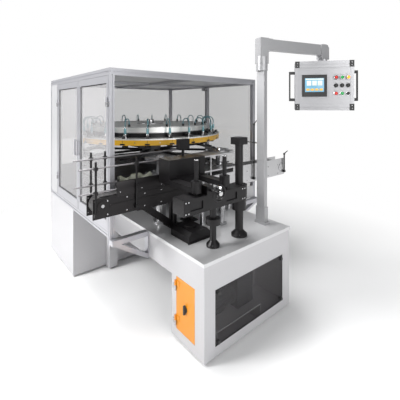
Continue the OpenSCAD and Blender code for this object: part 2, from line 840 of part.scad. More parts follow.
module conveyor_belts() color("dimgray") at_site() {
  belt_loop(infeed_ends()[0], infeed_ends()[1]);
  belt_loop(outfeed_ends()[0], outfeed_ends()[1]);
}

// Side plates with bearing bosses and bores, the slider bed and the nose that the belt runs over
module conveyor_frame(x0, x1, drive_x, nose_x, t) {
  for (at = [[conveyor_y0, conveyor_y0 - boss_t], [conveyor_y1 - t, conveyor_y1]]) difference() {
    y = at[0];
    union() {
      block([x0, y, conveyor_z0], [x1, y + t, belt_z - belt_t - seat]);
      rod_y(drive_x, at[1], at[1] + boss_t, roller_z, boss_r);
    }
    rod_y(drive_x, min(at) - over, max(at) + boss_t + t + over, roller_z, axle_r + run);
    end_x = drive_x < nose_x ? x0 + joint_hole_inset + joint_hole_r : x1 - joint_hole_inset - joint_hole_r;
    for (share = joint_hole_share)
      rod_y(end_x, y - over, y + t + over, conveyor_z0 + share * conveyor_h, joint_hole_r);
  }
  bed = [min(drive_x, nose_x) + loop_r, max(drive_x, nose_x) - loop_r];
  bed_z = belt_z - belt_t - seat;
  block([bed[0], conveyor_y0 + t, bed_z - bed_t], [bed[1], conveyor_y1 - t, bed_z]);
  rod_y(nose_x, conveyor_y0 + t, conveyor_y1 - t, roller_z, roller_r - seat);
  for (x = [bed[0], bed[1] - tie_w]) block([x, conveyor_y0 + t, conveyor_z0], [x + tie_w, conveyor_y1 - t, conveyor_z0 + tie_t]);
}

module conveyor_support(x) {
  top = conveyor_z0 - tie_t;
  block([x - tie_w / 2, conveyor_y0, top], [x + tie_w / 2, conveyor_y1, conveyor_z0]);
  for (side = [-1, 1]) rod_z(x, belt_y + side * support_spread / 2, table_h + support_foot.z, top, support_tube_r);
  translate([x, belt_y, table_h]) centred(support_foot);
}

// Infeed conveyor with its supports and the struts under its overhang
module infeed_frame() color("dimgray") at_site() {
  conveyor_frame(infeed_x0, infeed_x1, infeed_ends()[0], infeed_ends()[1], side_t);
  supports = [for (share = infeed_support_share) share * infeed_x1];
  for (x = supports) conveyor_support(x);
  top = conveyor_z0 - tie_t;
  foot_z = table_h + support_foot.z;
  foot_x = supports[0] - tie_w / 2;
  reach_x = supports[0] - strut_reach;
  for (y = [conveyor_y0, conveyor_y1 - side_t]) {
    block([reach_x - tie_w, y, top], [supports[0] - tie_w / 2, y + side_t, conveyor_z0]);
    prism_y(y, y + side_t, [
      [foot_x - support_tube_r, foot_z], [foot_x, foot_z], [foot_x, foot_z + strut_w],
      [reach_x + strut_w, top], [reach_x - strut_w / 2, top]
    ]);
  }
  block([infeed_x0 + 2 * loop_r, conveyor_y0 - groove_strip_t, roller_z - groove_strip_h],
        [infeed_x1, conveyor_y0, roller_z]);
}

// Outfeed conveyor in stainless sheet with raised side guards
module outfeed_frame() color("gainsboro") at_site() {
  conveyor_frame(outfeed_x0, outfeed_x1, outfeed_ends()[1], outfeed_ends()[0], guard_t);
  for (y = [conveyor_y0, conveyor_y1 - guard_t])
    block([outfeed_star_x, y, belt_z - belt_t - seat], [outfeed_x1, y + guard_t, belt_z + guard_rise]);
  for (x = [outfeed_x0 + 2 * loop_r, cabinet_w - tie_w]) conveyor_support(x);
}

// Drive rollers at the far end of each conveyor
module conveyor_roller(x) {
  rod_y(x, belt_y - belt_w / 2, belt_y + belt_w / 2, roller_z, roller_r);
  rod_y(x, conveyor_y0 - axle_out, conveyor_y1 + axle_out, roller_z, axle_r);
}

module infeed_roller() color("silver") at_site() conveyor_roller(infeed_ends()[0]);

module outfeed_roller() color("silver") at_site() conveyor_roller(outfeed_ends()[1]);

// Guide rails along the infeed
function front_rail_z(i) = belt_z + front_rail_z_share[i] * rail_span;
function back_rail_height(i) = belt_z + back_rail_z_share[i] * rail_span;
function infeed_post_x(i) = infeed_x0 + infeed_post_share[i] * infeed_reach;

function back_post_x(i) = i == 0 ? infeed_post_x(0) + clamp_w : rear_x0 - 1.5 * clamp_w;

module guide_rails() color("silver") at_site() {
  for (i = [0, 1]) rod_x(site_x0, infeed_star_x - container_r, front_rail_y, front_rail_z(i), rail_r);
  rod_x(site_x0, screw_x0 - screw_shaft_len - seat, back_rail_y, back_rail_height(0), rail_r);
  rod_x(site_x0, infeed_star_x + guide_arc_r - container_r, back_rail_y, back_rail_height(1), rail_r);
}

// Upright rods, their feet, the rail clamps and the bearings of the timing screw
module rail_posts() color("darkslategray") at_site() {
  for (i = [0, 1]) {
    rail_post(infeed_post_x(i), conveyor_y0, -1, front_rail_y, [front_rail_z(0), front_rail_z(1)]);
    rail_post(back_post_x(i), conveyor_y1, 1, back_rail_y, [back_rail_height(0), back_rail_height(1)]);
  }
  plain_post(side_post_x, conveyor_y0, -1, side_post_top);
  rod_y(side_post_x + rail_post_r, conveyor_y0 - 5 * clamp_w, conveyor_y1 + clamp_w, cross_bar_z, arm_bar_r);
  plain_post(end_post_x, conveyor_y0, -1, end_post_top);
  for (at = [[side_post_x, side_post_top], [end_post_x, end_post_top]])
    rod_z(at.x, front_post_y, at.y, at.y + 2 * lever_r - seat, lever_pin_r);
  screw_bearing(screw_x0 - screw_shaft_len);
  screw_bearing(screw_x1 + seat);
}

module plain_post(x, face_y, side, top) {
  y = face_y + side * (rail_post_r + clamp_w / 4);
  rod_z(x, y, conveyor_z0 + clamp_w, top, rail_post_r);
  translate([x, face_y, conveyor_z0 + clamp_w]) scale([1, side, 1])
    block([-clamp_w / 2, 0, 0], [clamp_w / 2, clamp_w, clamp_w]);
}

module rail_post(x, face_y, side, rail_y, heights) {
  y = face_y + side * (rail_post_r + clamp_w / 4);
  plain_post(x, face_y, side, max(heights) + 2 * clamp_w);
  for (z = heights) {
    translate([x, y, z - clamp_w / 2]) centred([clamp_w, clamp_w, clamp_w]);
    tip = rail_y + side * (rail_r + seat);
    rod_y(x, min(y, tip), max(y, tip), z, arm_bar_r);
  }
}

module screw_bearing(x) difference() {
  w = screw_shaft_len - seat;
  union() {
    block([x, conveyor_y1, conveyor_z0 + clamp_w], [x + w, conveyor_y1 + side_t, screw_z]);
    block([x, screw_y - bearing_r, belt_z + seat], [x + w, conveyor_y1 + side_t, screw_z]);
    rod_x(x, x + w, screw_y, screw_z, bearing_r);
  }
  rod_x(x - over, x + w + over, screw_y, screw_z, screw_shaft_r + run);
}

// Timing screw: the groove is the container's own circle moving along the shaft once a turn
function screw_phase(u) = screw_len / (2 * star_pitch_r * PI / pockets)
  * ln(1 + u * (1 / screw_pitch_share[0] - 1)) / (1 / screw_pitch_share[0] - 1) / screw_pitch_share[0];
function groove_depth(u, a) = let (
    turn = screw_phase(1) - screw_phase(u) - a / 360,
    off = abs(turn - round(turn)) * 2 * star_pitch_r * PI / pockets
      * (screw_pitch_share[0] + u * (screw_pitch_share[1] - screw_pitch_share[0]))
  ) off < container_r ? max(0, screw_groove - container_r + sqrt(container_r * container_r - off * off)) : 0;

module timing_screw() color("ivory") at_site() translate([screw_x0, screw_y, screw_z]) {
  step = 360 / screw_sides;
  points = [
    for (i = [0:screw_rings]) for (j = [0:screw_sides - 1]) let (
      u = i / screw_rings,
      r = screw_r - groove_depth(u, j * step)
    ) [u * screw_len, r * cos(j * step), r * sin(j * step)]
  ];
  side_faces = [
    for (i = [0:screw_rings - 1]) for (j = [0:screw_sides - 1]) let (
      a = i * screw_sides + j,
      b = i * screw_sides + (j + 1) % screw_sides
    ) each [[a, a + screw_sides, b], [b, a + screw_sides, b + screw_sides]]
  ];
  cap_0 = [for (j = [0:screw_sides - 1]) j];
  cap_1 = [for (j = [screw_sides - 1:-1:0]) screw_rings * screw_sides + j];
  polyhedron(points, concat(side_faces, [cap_0, cap_1]));
  rotate([0, 90, 0]) {
    translate([0, 0, -screw_shaft_len]) cylinder(r = screw_shaft_r, h = screw_shaft_len);
    translate([0, 0, screw_len]) cylinder(r = screw_shaft_r, h = screw_shaft_len);
  }
}

// Round columns on the table
module columns() color("black") at_site() {
  column(column_a, column_a_r, cross_z0);
  column(column_b, column_b_r, table_h + column_b_h);
  rod_z(column_a.x, column_a.y, cross_z0 - 3 * collar_h, cross_z0 - 2 * collar_h, flange_share * column_a_r + flange_h / 6);
  rod_z(column_b.x, column_b.y, cross_z0 - 2 * collar_h, cross_z0 - seat, clamp_r);
  translate([column_b.x, column_b.y, table_h + column_b_h - tower_block.y])
    centred([1.7 * clamp_r, 1.7 * clamp_r, tower_block.y]);
}

module column(at, r, top) {
  translate([at.x, at.y, table_h]) {
    cylinder(r = flange_share * r, h = 0.6 * flange_h);
    translate([0, 0, 0.6 * flange_h]) cylinder(r1 = flange_share * r, r2 = r, h = flange_h);
  }
  rod_z(at.x, at.y, table_h, top, r);
}

function head_rod_x(i) = cross_x0 + rod_x_share[i] * (column_b.x - cross_x0);
head_rod_y = cross_y0 + cross_d / 2;

// Cross beam with its clamp on the right column, the guide rods and the handwheel's boss
module cross_beam() color("black") at_site() {
  difference() {
    union() {
      block([cross_x0, cross_y0, cross_z0], [column_b.x, cross_y0 + cross_d, cross_z1]);
      rod_z(column_b.x, column_b.y, cross_z0, cross_z1, clamp_r + rim_bar_r);
      block([wheel_x - wheel_boss / 2, cross_y0, cross_z1 - fin_h],
        [wheel_x + wheel_boss / 2, cross_y0 + 0.6 * cross_d, cross_z1 + wheel_boss]);
    }
    rod_z(column_b.x, column_b.y, cross_z0 - over, cross_z1 + over, column_b_r + run);
    for (x = [cross_x0 + clamp_r, tower_x + clamp_r]) block([x, cross_y0 - over, cross_z0 + cross_h / 4],
      [x + 2 * clamp_r, cross_y0 + fin_h, cross_z1 - cross_h / 4]);
    wheel_bore();
  }
  for (i = [0, 1]) rod_z(head_rod_x(i), head_rod_y, cross_z1, cross_z1 + rod_h, rod_r);
}

function wheel_z() = cross_z1 + wheel_boss / 2;

module wheel_bore() rod_y(wheel_x, cross_y0 - over, cross_y0 + cross_d / 2, wheel_z(), wheel_shaft_r + run);

// Guide head that rides on the rods and holds the containers down over the transfer
module guide_head() color("black") at_site() {
  z0 = cross_z1 + head_lift;
  head_x1 = head_x0 + head_w;
  head_y0 = head_y1 - head_d;
  difference() {
    union() {
      for (i = [0, 1]) {
        block([head_rod_x(i) - arm_plate_w, head_rod_y, z0], [head_rod_x(i) + arm_plate_w, head_y0, z0 + arm_plate_t]);
        rod_z(head_rod_x(i), head_rod_y, z0, z0 + 2 * arm_plate_t, arm_plate_w);
      }
      block([head_x0, head_y0, z0], [head_x1, head_y1, z0 + head_h]);
    }
    for (i = [0, 1]) rod_z(head_rod_x(i), head_rod_y, z0 - over, z0 + 2 * arm_plate_t + over, rod_r + run);
    for (x = [head_x0 + head_w / 6, head_x0 + head_w / 2]) block([x, head_y0 - over, z0 + arm_plate_t + fin_h],
      [x + head_w / 3, head_y0 + fin_h, z0 + head_h - arm_plate_t / 2]);
  }
  rod_z(tower_x, head_y1 - tower_block.y / 2, z0 + head_h, z0 + head_h + tower_block.y, tower_r);
  translate([tower_x, head_y1 - tower_block.y / 2, z0 + head_h + tower_block.y]) centred(tower_block);
}

// Handwheel with its shaft and chromed crank handle
module handwheel() color("dimgray") at_site() translate([wheel_x, cross_y0, wheel_z()]) rotate([90, 0, 0]) {
  translate([0, 0, -cross_d / 3]) cylinder(r = wheel_shaft_r, h = cross_d / 3 + wheel_out);
  translate([0, 0, wheel_out - 2 * rim_bar_r]) cylinder(r = wheel_hub_r, h = 4 * rim_bar_r);
  translate([0, 0, wheel_out]) {
    rotate_extrude($fn = 96) translate([wheel_r - rim_bar_r, 0]) circle(r = rim_bar_r, $fn = 24);
    for (a = [0, 120, 240]) rotate([0, 90, a]) cylinder(r = rim_bar_r * 0.8, h = wheel_r - rim_bar_r);
    rotate([0, 0, 120]) translate([wheel_r - rim_bar_r, 0, 0]) cylinder(r = crank_r, h = crank_len);
  }
}

// Gearbox cover on the table that takes the drive to the conveyor
module table_gearbox() color("black") at_site() translate([gearbox_x0, gearbox_y0, table_h]) {
  c = gearbox_chamfer;
  s = gearbox_size;
  translate([0, s.y, 0]) rotate([90, 0, 0]) linear_extrude(s.y)
    polygon([[0, 0], [s.x, 0], [s.x, s.z - c], [s.x - c, s.z], [c, s.z], [0, s.z - c]]);
  block([-soft_edge * 4, -soft_edge * 4, 0], [s.x + soft_edge * 4, 0, soft_edge * 4]);
  translate([s.x / 2, s.y / 2, s.z]) cylinder(r = s.x / 4, h = c / 2);
}

// Air cylinders that stand on the table behind the columns
module air_cylinders() color("silver") at_site() {
  at = [cylinder_a, cylinder_b];
  for (i = [0, 1]) {
    r = cylinder_r_share[i];
    top = cross_z0 - (2 - i) * collar_h;
    translate([at[i].x, at[i].y, table_h]) centred([2.4 * r, 2.4 * r, 0.8 * r]);
    rod_z(at[i].x, at[i].y, table_h, top, r);
    translate([at[i].x, at[i].y, top]) centred([2.2 * r, 2.2 * r, 0.8 * r]);
    rod_z(at[i].x, at[i].y, top, top + 2 * r, r / 3);
  }
}

// Fixed base of the turret: pedestal, centre post and the cam track
module turret_base() color("gray") at_site() at_turret() {
  translate([0, 0, table_h]) cylinder(r = base_flange_r, h = base_flange_t, $fn = 96);
  translate([0, 0, table_h]) cylinder(r = base_r, h = shoulder_z - table_h, $fn = 96);
  translate([0, 0, table_h]) cylinder(r = spindle_r, h = head_z - table_h - spoke_h, $fn = 96);
  cam_z = shoulder_z - 2 * cam_h;
  translate([0, 0, cam_z]) ring(cam_r - cam_w, cam_r, cam_h);
  for (i = [0:cam_arms - 1]) rotate([0, 0, (i + 0.5) * 360 / cam_arms])
    block([base_r - cam_w, -cam_arm_w / 2, cam_z], [cam_r - cam_w / 2, cam_arm_w / 2, cam_z + cam_h / 2]);
}

// Rotating hub with the lower flange, the spokes and the rotary air union
module turret_hub() color("gray") at_site() at_turret() {
  z0 = shoulder_z + seat;
  plate_z = belt_z - pad_t - round_plate_t;
  difference() {
    union() {
      translate([0, 0, z0]) cylinder(r = hub_flange_r, h = plate_z - z0, $fn = 96);
      translate([0, 0, z0]) cylinder(r = hub_r, h = head_z - z0, $fn = 96);
      for (i = [0:spokes - 1]) rotate([0, 0, i * 360 / spokes])
        block([spindle_r + spoke_w / 2, -spoke_w / 2, head_z - spoke_h], [drum_r, spoke_w / 2, head_z]);
    }
    translate([0, 0, z0 - over]) cylinder(r = spindle_r + run, h = head_z - spoke_h + seat - z0 + over, $fn = 96);
  }
  translate([0, 0, head_z]) cylinder(r = union_r, h = union_h);
}

// Yellow rim round the head plate
module head_ring() color("orange") at_site() at_turret() translate([0, 0, rim_z]) ring(rim_r - rim_t, rim_r, rim_h);

// White head plate with a hole for each test head
module head_plate() color("white") at_site() at_turret() difference() {
  translate([0, 0, head_z]) ring(head_inner_r, rim_r - soft_edge, head_plate_t);
  each_station(pitch_r, head_z - over) cylinder(r = head_hole_r + run, h = head_plate_t + 2 * over);
}

// Test heads: a spindle through the plate, the cylinder body below and a nut above
module test_heads() color("gray") at_site() at_turret() each_station(pitch_r, 0) {
  translate([0, 0, head_z - head_body_h]) cylinder(r = head_body_r, h = head_body_h);
  translate([0, 0, head_z - head_body_h]) cylinder(r = head_hole_r, h = head_body_h + head_plate_t + head_top_h);
  translate([0, 0, deck_z]) cylinder(r = 1.7 * head_hole_r, h = head_top_h / 3, $fn = 6);
}

// Rubber seals that close on the containers
module seal_cones() color("black") at_site() at_turret()
  each_station(pitch_r, head_z - head_body_h - cone_h) cylinder(r1 = cone_r0, r2 = cone_r1, h = cone_h);

// Clamp knobs round the head plate
module clamp_knobs() color("black") at_site() at_turret() each_station(knob_circle_r, deck_z) {
  cylinder(r1 = knob_skirt_r, r2 = knob_skirt_r * 0.8, h = knob_body_h * 0.7);
  translate([0, 0, knob_body_h * 0.7]) cylinder(r1 = knob_skirt_r * 0.8, r2 = knob_skirt_r * 0.5, h = knob_body_h * 0.3);
}

// White air drum over the valve ring
module air_drum() color("white") at_site() at_turret() translate([0, 0, drum_z]) {
  ring(drum_r - drum_wall, drum_r, drum_h);
  translate([0, 0, drum_h - drum_skin]) ring(drum_hole_r, drum_r, drum_skin);
}

// Black valve ring under the drum and the hose fittings on it
module valve_blocks() color("black") at_site() at_turret() {
  translate([0, 0, deck_z]) ring(drum_r - 2 * drum_wall, drum_r - drum_skin, valve_ring_h);
  each_station(pitch_r - 2 * hose_loop_r, drum_top) cylinder(r = fitting_r, h = fitting_h);
}

// Air hoses looping from the drum's fittings to the test heads
module air_hoses() color("cadetblue") at_site() at_turret() each_station(pitch_r - hose_loop_r, 0) {
  z0 = drum_top + fitting_h;
  head_top = deck_z + head_top_h;
  translate([-hose_loop_r, 0, z0]) cylinder(r = hose_r, h = hose_rise, $fn = 24);
  translate([hose_loop_r, 0, head_top]) cylinder(r = hose_r, h = z0 + hose_rise - head_top, $fn = 24);
  translate([0, 0, z0 + hose_rise]) rotate([90, 0, 0]) rotate_extrude(angle = 180, $fn = 72)
    translate([hose_loop_r, 0]) circle(r = hose_r, $fn = 24);
}

// Round plate with the container pads, and the pocketed guide ring on its arms
module container_plate() color("dimgray") at_site() at_turret() {
  plate_z = belt_z - pad_t - round_plate_t;
  translate([0, 0, plate_z]) ring(hub_r + run, round_plate_r, round_plate_t);
  each_station(pitch_r, plate_z + round_plate_t - over) cylinder(r = pad_r, h = pad_t + over);
  translate([0, 0, guide_ring_z]) difference() {
    union() {
      ring(guide_ring_inner, guide_ring_r, guide_ring_t);
      for (i = [0:spokes - 1]) rotate([0, 0, i * 360 / spokes])
        block([0, -guide_arm_w / 2, 0], [guide_ring_inner + guide_ring_t / 4, guide_arm_w / 2, guide_ring_t]);
    }
    translate([0, 0, -over]) cylinder(r = hub_r + run, h = guide_ring_t + 2 * over, $fn = 96);
    each_station(pitch_r, -over) cylinder(r = pocket_r, h = guide_ring_t + 2 * over);
  }
}

// Star wheel: two pocketed plates on a hub, its cap and its shaft
module star_wheel(x, mirror_turn) translate([x, star_y, 0]) {
  hub_z = belt_z + star_low - star_t;
  rotate([0, 0, mirror_turn]) for (z = [belt_z + star_low, belt_z + star_high]) translate([0, 0, z]) difference() {
    cylinder(r = star_r, h = star_t, $fn = 96);
    for (i = [0:pockets - 1]) rotate([0, 0, i * 360 / pockets]) translate([star_pitch_r, 0, -over])
      cylinder(r = pocket_r, h = star_t + 2 * over);
  }
  translate([0, 0, hub_z]) cylinder(r = star_hub_r, h = star_high + star_t - star_low + star_t);
  translate([0, 0, belt_z + star_high + star_t]) cylinder(r1 = star_cap_r, r2 = star_cap_r * 0.6, h = star_cap_h);
  rod_z(0, 0, conveyor_z0, hub_z, star_shaft_r);
}

function star_mesh(side) = 90 + side * transfer_angle + star_turn;

module infeed_star() color("gainsboro") at_site() star_wheel(infeed_star_x, star_mesh(-1));

module outfeed_star() color("gainsboro") at_site() star_wheel(outfeed_star_x, star_mesh(1));

// Guide between the star wheels, its rods and the bearing pedestals of the stars
module centre_guide() color("silver") at_site() {
  for (z = [belt_z + star_low, belt_z + star_high]) translate([0, 0, z]) linear_extrude(star_t) guide_outline();
  translate([0, 0, belt_z - transfer_t]) linear_extrude(transfer_t) transfer_outline();
  for (x = guide_rod_places()) for (y = [0, 1]) {
    rod_z(x[y], guide_rod_y(y), table_h, belt_z + star_low, guide_rod_r);
    rod_z(x[y], guide_rod_y(y), belt_z + star_low + star_t, belt_z + star_high, guide_rod_r);
  }
  for (x = [infeed_star_x, outfeed_star_x]) difference() {
    union() {
      rod_z(x, star_y, table_h, belt_z + star_low - star_t - seat, pedestal_r);
      rod_z(x, star_y, table_h, table_h + pedestal_flange_t, pedestal_flange_r);
    }
    rod_z(x, star_y, conveyor_z0 - tie_t, belt_z + star_low, star_shaft_r + run);
  }
}

function guide_rod_y(i) = i == 0 ? conveyor_y1 + clamp_w + guide_rod_r : conveyor_y0 - clamp_w / 4 - guide_rod_r;
function guide_rod_places() = [for (side = [-1, 1]) [turret_x + side * 2 * pedestal_r, turret_x + side * pedestal_r]];

// Plate that the containers slide over between the belts and the round plate
module transfer_outline() difference() {
  translate([infeed_star_x - transfer_side, conveyor_y1 + seat])
    square([outfeed_star_x - infeed_star_x + 2 * transfer_side, guide_arc_r - conveyor_w / 2]);
  translate([turret_x, turret_y]) circle(r = round_plate_r + guide_slack, $fn = 128);
  for (x = [infeed_star_x, outfeed_star_x]) translate([x, star_y]) circle(r = pedestal_r - soft_edge);
}

module guide_outline() difference() {
  translate([infeed_star_x, belt_y - guide_front]) square([outfeed_star_x - infeed_star_x, guide_front + guide_arc_r]);
  for (x = [infeed_star_x, outfeed_star_x]) translate([x, star_y]) circle(r = guide_arc_r, $fn = 128);
  translate([turret_x, turret_y]) circle(r = rim_r + soft_edge * 4, $fn = 128);
}

// Yellow service door
module service_door() color("orange") at_site() {
  inner = sheet_t + fold_w / 2;
  difference() {
    union() {
      block([0, service_y0 + fold_gap, window_z + fold_gap], [sheet_t, service_y1 - fold_gap, window_top - fold_gap]);
      block([sheet_t, service_y0 + 2 * fold_gap, window_z + 2 * fold_gap],
            [inner, service_y1 - 2 * fold_gap, window_top - 2 * fold_gap]);
    }
    block([sheet_t, service_y0 + 4 * fold_gap, window_z + 4 * fold_gap],
          [inner + over, service_y1 - 4 * fold_gap, window_top - 4 * fold_gap]);
    rod_x(-over, inner, latch_y(), latch_z(), latch_r + run);
  }
  for (z = service_hinge_heights()) moving_hinge(0, service_y1, z, -1);
}

latch_r = 8;
latch_plate_r = 20;
latch_grip = [16, 12, 62];
function latch_y() = service_y0 + 0.48 * service_w;
function latch_z() = window_z + 0.5 * window_h;

// Latch in the middle of the service door
module door_latch() color("dimgray") at_site() translate([0, latch_y(), latch_z()]) {
  rod_x(-latch_grip.x, sheet_t + fold_w / 2, 0, 0, latch_r);
  rod_x(-sheet_t - seat, -seat, 0, 0, latch_plate_r);
  translate([-latch_grip.x - sheet_t, -latch_grip.y / 2, -latch_grip.z / 2]) cube(latch_grip);
}

// Framed doors on the infeed side
module door_frame(y0, y1, hinge_y, side) {
  x0 = rear_x0;
  z0 = door_z0();
  z1 = door_z1();
  difference() {
    block([x0, y0, z0], [x0 + door_t, y1, z1]);
    block([x0 - over, y0 + stile_w, z0 + kick_rail_h], [x0 + door_t + over, y1 - stile_w, z1 - head_rail_h]);
  }
  for (z = hinge_heights()) moving_hinge(x0, hinge_y, z, side);
  grip_y = side > 0 ? y1 - stile_w / 2 : y0 + stile_w / 2;
  grip_z = (z0 + z1) / 2 - 4 * stile_w;
  for (z = [grip_z, grip_z + 6 * stile_w]) rod_x(x0 - stile_w, x0, grip_y, z, stile_w / 4);
  rod_z(x0 - stile_w, grip_y, grip_z - stile_w / 2, grip_z + 6.5 * stile_w, stile_w / 3);
}

module door_pane(y0, y1) {
  x = rear_x0 + door_t / 2;
  block([x - pane_t / 2, y0 + stile_w + seat, door_z0() + kick_rail_h + seat],
        [x + pane_t / 2, y1 - stile_w - seat, door_z1() - head_rail_h - seat]);
}

function front_door_y() = [guard_y + post_w + door_gap, left_mullion_y - half_post - door_gap];
function rear_door_y() = [left_mullion_y + half_post + door_gap, closed_y0 - post_w - door_gap];

module left_front_door() color("gainsboro") at_site()
  door_frame(front_door_y()[0], front_door_y()[1], guard_y + post_w + door_gap / 2, 1);

module left_front_pane() color("lightgray", 0.4) at_site() door_pane(front_door_y()[0], front_door_y()[1]);

module left_rear_door() color("gainsboro") at_site()
  door_frame(rear_door_y()[0], rear_door_y()[1], closed_y0 - post_w - door_gap / 2, -1);

module left_rear_pane() color("lightgray", 0.4) at_site() door_pane(rear_door_y()[0], rear_door_y()[1]);

// Clamp levers on the outfeed posts
module clamp_lever(x, top, turn) translate([x, front_post_y, top + seat]) difference() {
  rotate([0, 0, turn]) {
    cylinder(r = 2 * lever_r, h = 3 * lever_r);
    translate([0, 0, 2 * lever_r]) rotate([0, lever_tilt, 0]) cylinder(r1 = lever_r, r2 = lever_r * 0.7, h = lever_len);
  }
  translate([0, 0, -over]) cylinder(r = lever_pin_r + run, h = 2 * lever_r + over);
}

module inner_lever() color("black") at_site() clamp_lever(side_post_x, side_post_top, 0);

module outer_lever() color("black") at_site() clamp_lever(end_post_x, end_post_top, -90);

// Pendant arm: joint collar, elbow, tube and the drop to the control box
module swing_arm() color("silver") at_site() translate([pole_x, pole_y, 0]) rotate([0, 0, arm_angle]) {
  joint_z = pole_top + joint_h + seat;
  arm_top = arm_z0 + arm_h;
  difference() {
    union() {
      translate([0, 0, joint_z]) cylinder(r = joint_r, h = joint_h);
      translate([0, 0, joint_z]) centred([1.7 * joint_r, 1.7 * joint_r, arm_top - joint_z]);
    }
    translate([0, 0, joint_z - over]) cylinder(r = pivot_r + run, h = joint_h + over);
  }
  block([joint_r * 0.85, -arm_w / 2 - arm_sleeve, arm_z0 - arm_sleeve], [2 * joint_r, arm_w / 2 + arm_sleeve, arm_top]);
  block([2 * joint_r, -arm_w / 2, arm_z0], [arm_len - drop_d / 2, arm_w / 2, arm_top - 2 * soft_edge]);
  difference() {
    translate([arm_len, 0, 0]) prism_y(-drop_d / 2, drop_d / 2, [
      [-drop_w / 2, box_top + neck_h + seat], [drop_w / 2, box_top + neck_h + seat], [drop_w / 2, arm_top - drop_w / 3],
      [drop_w / 2 - drop_w / 6, arm_top - drop_w / 12], [drop_w / 2 - drop_w / 3, arm_top], [-drop_w / 2, arm_top]
    ]);
    translate([arm_len, 0, box_top]) cylinder(r = pivot_r + run, h = 2 * neck_h + seat);
  }
}

module at_box() at_site() translate([arm_x, arm_y, 0]) rotate([0, 0, box_angle]) children();

// Control box: a tub with a front panel and profile edges
module control_box() color("gainsboro") at_box() {
  back = box_d / 2;
  half_w = box_w / 2;
  difference() {
    block([-half_w + edge_lip, face_y + 2 * box_skin, box_z0 + edge_lip], [half_w - edge_lip, back, box_top]);
    block([-half_w + edge_lip + box_skin, face_y, box_z0 + edge_lip + box_skin],
          [half_w - edge_lip - box_skin, back - box_skin, box_top - box_skin]);
  }
  difference() {
    block([-half_w + edge_w, face_y, box_z0 + corner_h], [half_w - edge_w, face_y + 2 * box_skin, box_top - corner_h]);
    each_control([0, 1, 2], [1, 2]) translate([0, -over, 0]) rotate([-90, 0, 0]) cylinder(r = stem_r + run, h = 2 * box_skin + 2 * over);
  }
  for (z = [box_z0, box_top - corner_h]) difference() {
    block([-half_w + corner_w, face_y - edge_lip, z], [half_w - corner_w, face_y + 2 * box_skin, z + corner_h]);
    block([-half_w, face_y - edge_lip - over, z + corner_h / 3], [half_w, face_y - edge_lip / 2, z + corner_h / 2]);
  }
  for (x = [-half_w, half_w - edge_w]) block([x, face_y - edge_lip / 2, box_z0 + corner_h], [x + edge_w, face_y + 2 * box_skin, box_top - corner_h]);
  translate([0, 0, box_top]) cylinder(r = neck_r, h = neck_h);
  translate([0, 0, box_top + neck_h]) cylinder(r = pivot_r, h = neck_h - over);
}

module each_control(columns_at, rows_at) for (i = columns_at) for (j = rows_at)
  translate([control_x_share[i] * box_w, face_y, box_z0 + control_z_share[j] * box_h]) children();

// Black corners, side grips, the screen's bezel and the pilot lights
module box_trim() color("black") at_box() {
  half_w = box_w / 2;
  for (x = [-half_w, half_w - corner_w]) for (z = [box_z0, box_top - corner_h])
    block([x, face_y - edge_lip, z], [x + corner_w, face_y + 2 * box_skin, z + corner_h]);
  for (side = [-1, 1]) {
    z0 = box_z0 + (1 - grip_share) * box_h / 2;
    z1 = box_top - (1 - grip_share) * box_h / 2;
    x_bar = side * (half_w + grip_out - grip_t / 2);
    block([x_bar - grip_t / 2, -grip_t / 2, z0], [x_bar + grip_t / 2, grip_t / 2, z1]);
    for (z = [z0, z1 - 2 * grip_t]) block([min(side * (half_w - edge_lip), x_bar - side * grip_t / 2), -grip_t / 2, z],
      [max(side * (half_w - edge_lip), x_bar - side * grip_t / 2), grip_t / 2, z + 2 * grip_t]);
  }
  bezel_x = bezel_x_share * box_w;
  bezel_z = box_z0 + bezel_z_share * box_h;
  block([bezel_x - bezel.x / 2, face_y - bezel.z, bezel_z - bezel.y / 2], [bezel_x + bezel.x / 2, face_y, bezel_z + bezel.y / 2]);
  each_control([0, 1, 2], [0]) rotate([90, 0, 0]) cylinder(r = control_collar_r, h = control_collar_h + cap_h);
}

// Pushbutton: cap with its collar gap and the stem through the panel
module pushbutton(i, j) at_box() each_control([i], [j]) rotate([90, 0, 0]) {
  translate([0, 0, button_travel + seat]) cylinder(r = button_r, h = cap_h);
  translate([0, 0, -stem_len]) cylinder(r = stem_r, h = stem_len + button_travel + seat + over);
}

// Selector: round base with a pointed grip across it
module selector(i, j) at_box() each_control([i], [j]) rotate([90, 0, 0]) {
  translate([0, 0, seat]) cylinder(r = control_collar_r, h = control_collar_h);
  translate([-control_collar_r * 0.3, -control_collar_r, control_collar_h]) cube([control_collar_r * 0.6, 2 * control_collar_r, cap_h]);
  translate([0, 0, -stem_len]) cylinder(r = stem_r, h = stem_len + over);
}

module selector_1() color("black") selector(0, 1);
module selector_2() color("black") selector(1, 1);
module selector_3() color("black") selector(2, 1);
module stop_button() color("red") pushbutton(0, 2);
module start_button() color("green") pushbutton(1, 2);
module reset_button() color("black") pushbutton(2, 2);

